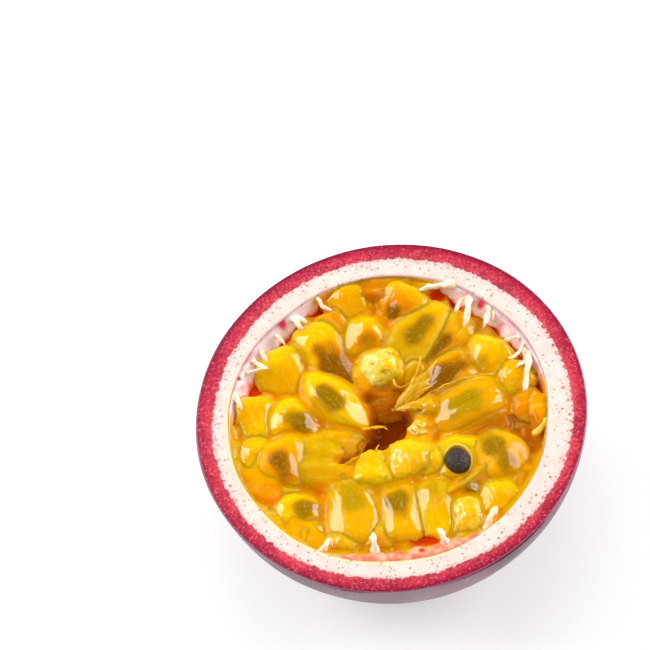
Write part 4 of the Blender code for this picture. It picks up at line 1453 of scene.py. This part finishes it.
def sheetFaces(countU, countV):
    # both sides of a thin sheet and the strip round its edge; the lower side's points follow the upper side's
    low = countU * countV
    faces = []
    for i in range(countU - 1):
        for j in range(countV - 1):
            a, b = i * countV + j, i * countV + j + 1
            c, d = a + countV, b + countV
            faces += [(a, c, d), (a, d, b), (a + low, d + low, c + low), (a + low, b + low, d + low)]
    grid = np.arange(low).reshape(countU, countV)
    edge = np.concatenate([grid[:, 0], grid[-1, 1:], grid[-2::-1, -1], grid[0, -2:0:-1]]).tolist()
    for one, two in zip(edge, edge[1:] + edge[:1]):
        faces += [(one, two, two + low), (one, two + low, one + low)]
    return np.array(faces)


def makeFlap(row, number):
    tone, lean, *run = row
    size = (flapLook["along"], flapLook["across"])
    u = np.linspace(0.0, 1.0, size[0])
    v = np.linspace(-1.0, 1.0, size[1])[None, :]
    upward = np.array([0.0, 0.0, 1.0])
    places = alongRun(run, u)
    spine = places[:, :3] + upward * fruit["cut"]
    wide = np.maximum(places[:, 3:], flapLook["narrowest"])
    side = np.cross(np.gradient(spine, axis=0), upward)
    side /= np.linalg.norm(side, axis=1)[:, None]
    across = (side * math.cos(math.radians(lean)) + upward * math.sin(math.radians(lean)))[:, None, :]
    points = spine[:, None, :] + across * (v * wide)[:, :, None]
    flat = points.reshape(-1, 3)
    ragged = noiseOf(flat, 1.5, number + 200).reshape(size) * flapLook["ragged"]
    points += across * (ragged * v)[:, :, None]
    # pleats run along the skin; their crests are painted pale as a highlight, so the deeper tone shows
    # between them
    along = np.concatenate([[0.0], np.cumsum(np.linalg.norm(np.diff(spine, axis=0), axis=1))])[:, None]
    pleatPlaces = np.stack(np.broadcast_arrays(
        along * flapLook["pleatsLong"], v * flapLook["pleatsWide"] + 0.3 * np.sin(along), 0.0), axis=-1)
    pleat = np.minimum(np.abs(noiseOf(pleatPlaces.reshape(-1, 3), 1.0, number + 320)), 0.3125)
    pleat = (1.0 - 3.2 * pleat).reshape(size)
    crumple = noiseOf(flat, 0.7, number + 300).reshape(size) * flapLook["crumple"]
    points[:, :, 2] += crumple + pleat * flapLook["pleat"] - flapLook["curl"] * v**2 * wide
    # torn edges are pale; the pleats' pale crests are a painted highlight
    edge = 0.5 * smoothStep((np.abs(v) - 0.85) / 0.15)
    crest = np.maximum(edge, smoothStep((pleat - 0.55) / 0.45)).ravel()
    colour = tinted(toneOf(tone) * 0.94, toneOf("pale"), crest * 0.4)
    upper = points.reshape(-1, 3)
    lower = upper - upward * flapLook["thick"]
    return np.concatenate([upper, lower]), sheetFaces(*size), np.concatenate([colour, colour])


def makeFlaps():
    flaps = [makeFlap(row, number) for number, row in enumerate(flapRows)]
    points, faces = joinMeshes([flap[:2] for flap in flaps])
    material, tree, shader = newMaterial("flaps")
    threads = noiseAt(tree, 900.0, 3.0, 0.6, 1.0)
    tone = attributeOf(tree, "tone", "Color")
    feed(tree, shader, {
        "Base Color": stained(tree, tone, tones["pale"], threads, 0.54, 0.7, 0.25),
        "Roughness": 0.35, "Normal": bumpOf(tree, threads, 0.5, 0.0003), "Specular IOR Level": 0.0,
        "Coat Weight": 1.0, "Coat Roughness": 0.06, "Coat IOR": 1.6})
    piece = makeObject("flaps", points, faces, material)
    fixNormals(piece)
    setAttribute(piece, "tone", solidColours(np.concatenate([colours for _, _, colours in flaps])))
    fixPiece(piece, "pulp")


makeFlaps()
report("torn skins")

juice = {
    "under": 0.05,  # how far under the sacs' tops the film of juice lies
    "fillet": 0.75,  # radius of the hollow the film makes between two sacs
    "reach": 1.6,  # the widest gap it bridges, half
    "shore": -0.45,  # its level at the wall, and how much lower where the lining is thick
    "shoreDrop": 1.95,
    "frontShore": 0.9,  # by how much less at the front
    "hollow": -6.0,  # the lowest level it can have
    "grid": 0.2,
    "gridReach": 25.0,
    "intoWall": 0.05,  # how far its edge reaches into the wall, so that no gap shows
    "swell": 0.18,  # how much a pool's surface rises and falls
    "bottom": -19.5,
    "around": 440,  # points round each ring
    "sideRings": 16,
    "topRings": 110,
    "coat": 0.35,
    "patchShare": 0.85,
    "groove": 0.7,  # how much of the sacs' painted groove shade it takes
    # tones of painted shade that it gets with depth: from one depth to another under the cut
    "depths": (("orange", 1.8, 3.0), ("brown", 2.8, 4.4), ("deep", 4.0, 6.5)),
}
# where the juice stands higher: x, y, half sizes, heading, level
juicePools = (
    (2.6, 22.4, 4.4, 2.2, 2, -0.6), (9.6, 21.4, 3.0, 1.2, -18, -0.8), (-20.8, -6.8, 4.0, 2.6, -62, -1.5),
    (-16.4, -16.6, 5.0, 2.6, -45, -1.5), (20.6, -7.0, 4.5, 2.4, 70, -2.8), (16.6, -15.0, 4.0, 2.0, 45, -1.7),
    (-11.6, -5.0, 5.4, 3.6, -50, -1.5), (22.0, -3.2, 4.0, 1.6, 80, -0.8),
)
# where the juice has a tone of a patch: x and y of the middle, half length, half width, tone; the brown patch
# and the dark orange one on the right are painted shade
juicePatches = (
    (2.6, 22.0, 7.0, 3.0, "pool"), (19.2, -6.8, 3.4, 4.6, "brown"), (17.0, -3.6, 2.4, 1.0, "shadeOrange"),
    (-19.4, -9.0, 4.0, 2.2, "amber"), (-11.6, -4.8, 6.6, 5.0, "lime"), (-0.8, 8.2, 6.4, 4.8, "yellow"),
    (5.4, -4.2, 3.6, 1.9, "yellow"),
)


def levelsFromAbove(gridX, gridY):
    # the level of the sacs under each place of the grid, and past the wall the level of the shore
    points, faces = joinMeshes(sacMeshes)
    tree = BVHTree.FromPolygons(points.tolist(), faces.tolist())
    down = Vector((0.0, 0.0, -1.0))
    above = fruit["cut"] + 5.0
    hits = [tree.ray_cast(Vector((x, y, above)), down)[0] for x, y in zip(gridX.ravel(), gridY.ravel())]
    levels = [juice["hollow"] if hit is None else max(hit.z - fruit["cut"], juice["hollow"]) for hit in hits]
    angle = np.arctan2(gridY, gridX)
    drop = juice["shoreDrop"] - juice["frontShore"] * smoothStep(-np.sin(angle))
    shore = juice["shore"] - drop * placentaShare(np.degrees(angle))
    outside = np.hypot(gridX, gridY) > liningRadius(angle, fruit["cut"] + shore)
    return np.where(outside, shore, np.reshape(levels, gridX.shape))


def makeFilm():
    # the sacs from above, with the gaps between them filled as far as a ball that rolls over them can reach
    axis = np.arange(-juice["gridReach"], juice["gridReach"] + juice["grid"] / 2.0, juice["grid"])
    levels = levelsFromAbove(*np.meshgrid(axis, axis, indexing="ij"))
    steps = int(juice["reach"] / juice["grid"])
    square = range(-steps, steps + 1)
    shifts = [(i, j, (i * i + j * j) * juice["grid"] ** 2 / (2.0 * juice["fillet"]))
              for i in square for j in square if i * i + j * j <= steps**2]
    for sign in (1.0, -1.0):
        levels = sign * np.max([np.roll(sign * levels, (i, j), (0, 1)) - sag for i, j, sag in shifts], axis=0)
    return axis, levels


def juiceLevel(film, x, y):
    axis, levels = film
    place = [np.clip((value - axis[0]) / juice["grid"], 0.0, len(axis) - 1.001) for value in (x, y)]
    i, j = place[0].astype(int), place[1].astype(int)
    shareX, shareY = place[0] - i, place[1] - j
    level = (levels[i, j] * (1.0 - shareX) + levels[i + 1, j] * shareX) * (1.0 - shareY) + (
        levels[i, j + 1] * (1.0 - shareX) + levels[i + 1, j + 1] * shareX) * shareY
    level = np.maximum(level - juice["under"], juice["hollow"])
    swell = juice["swell"] * np.sin(1.5 * x + 0.8 * y) * np.sin(1.2 * y - 0.7 * x)
    for middleX, middleY, halfLong, halfWide, heading, poolLevel in juicePools:
        reach = ellipseReach(x, y, (middleX, middleY), halfLong, halfWide, heading)
        level = level + np.maximum(poolLevel + swell - level, 0.0) * smoothStep(2.2 * (1.15 - reach))
    for hole in hollowHoles + wallHoles:
        share = smoothStep(0.75 - holeGap(x, y, hole) / 0.6)
        level = level + np.minimum(hole[5] - level, 0.0) * share
    return level


def juiceColours(points):
    # the juice has the colours of the sacs beside it with their painted groove shade, darkens with depth as
    # painted shade, and is painted red in the wall's holes as a glow of light
    near = np.zeros_like(points) + 0.02 * toneOf("orange")
    weight = np.full(len(points), 0.02)
    for one in everySac[:len(sacRows)]:
        reach = np.exp(-np.maximum(one.outside(points), -1.0) / 0.35)
        # the juice takes the sacs' painted groove shade
        grooves = np.full(len(points), juice["groove"])
        colour, dark, share = paintSac(one, points, grooves, np.full(len(points), sacLook["farAway"]))
        near += tinted(colour, dark, share) * reach[:, None]
        weight += reach
    colour = tinted(near / weight[:, None], toneOf("orange"), 0.15)
    x, y, depth = points[:, 0], points[:, 1], fruit["cut"] - points[:, 2]
    # painted shade: darker tones down in the hollow
    for tone, first, last in juice["depths"]:
        colour = tinted(colour, toneOf(tone), smoothStep((depth - first) / (last - first)))
    for middleX, middleY, halfLong, halfWide, tone in juicePatches:
        share = smoothStep(1.0 - ellipseReach(x, y, (middleX, middleY), halfLong, halfWide, 0.0))
        share = smoothStep(share * 3.0) * smoothStep(4.0 - depth)
        colour = tinted(colour, toneOf(tone), share * juice["patchShare"])
    # painted glow: red in the wall's holes, as light through the juice
    for hole in wallHoles:
        colour = tinted(colour, toneOf("red"), smoothStep(1.1 - holeGap(x, y, hole) / 0.7))
    return colour


def makeJuice():
    material = makeSacMaterial("juice", juice["coat"])
    film = makeFilm()
    angle = anglesRound(juice["around"])
    edgeLevel = np.full(juice["around"], -2.0)
    for _ in range(3):  # the shore's level and its reach depend on each other
        reach = liningRadius(angle, fruit["cut"] + edgeLevel) + juice["intoWall"]
        edgeLevel = juiceLevel(film, reach * np.cos(angle), reach * np.sin(angle))
    rings = []
    for share in np.linspace(0.0, 1.0, juice["sideRings"]):  # up the wall
        height = fruit["cut"] + juice["bottom"] + (edgeLevel - juice["bottom"]) * share
        reach = liningRadius(angle, height) + juice["intoWall"]
        rings.append(np.stack([reach * np.cos(angle), reach * np.sin(angle), height], axis=-1))
    for share in np.linspace(1.0, 0.0, juice["topRings"])[1:-1]:  # in from the shore
        x, y = reach * share * np.cos(angle), reach * share * np.sin(angle)
        rings.append(np.stack([x, y, fruit["cut"] + juiceLevel(film, x, y)], axis=-1))
    points = np.concatenate(rings).tolist()
    faces = ringFaces(len(rings), juice["around"])
    middle = float(juiceLevel(film, np.zeros(1), np.zeros(1))[0])
    closeFan(points, faces, 0, juice["around"], fruit["cut"] + juice["bottom"])
    closeFan(points, faces, (len(rings) - 1) * juice["around"], juice["around"], fruit["cut"] + middle)
    piece = makeObject("juice", points, faces, material)
    fixNormals(piece)
    setAttribute(piece, "tone", solidColours(juiceColours(np.array(points))))
    setAttribute(piece, "flow", np.array(points) * 0.3)
    setAttribute(piece, "sheen", np.ones(len(points)))
    fixPiece(piece, "pulp")


makeJuice()
report("juice")
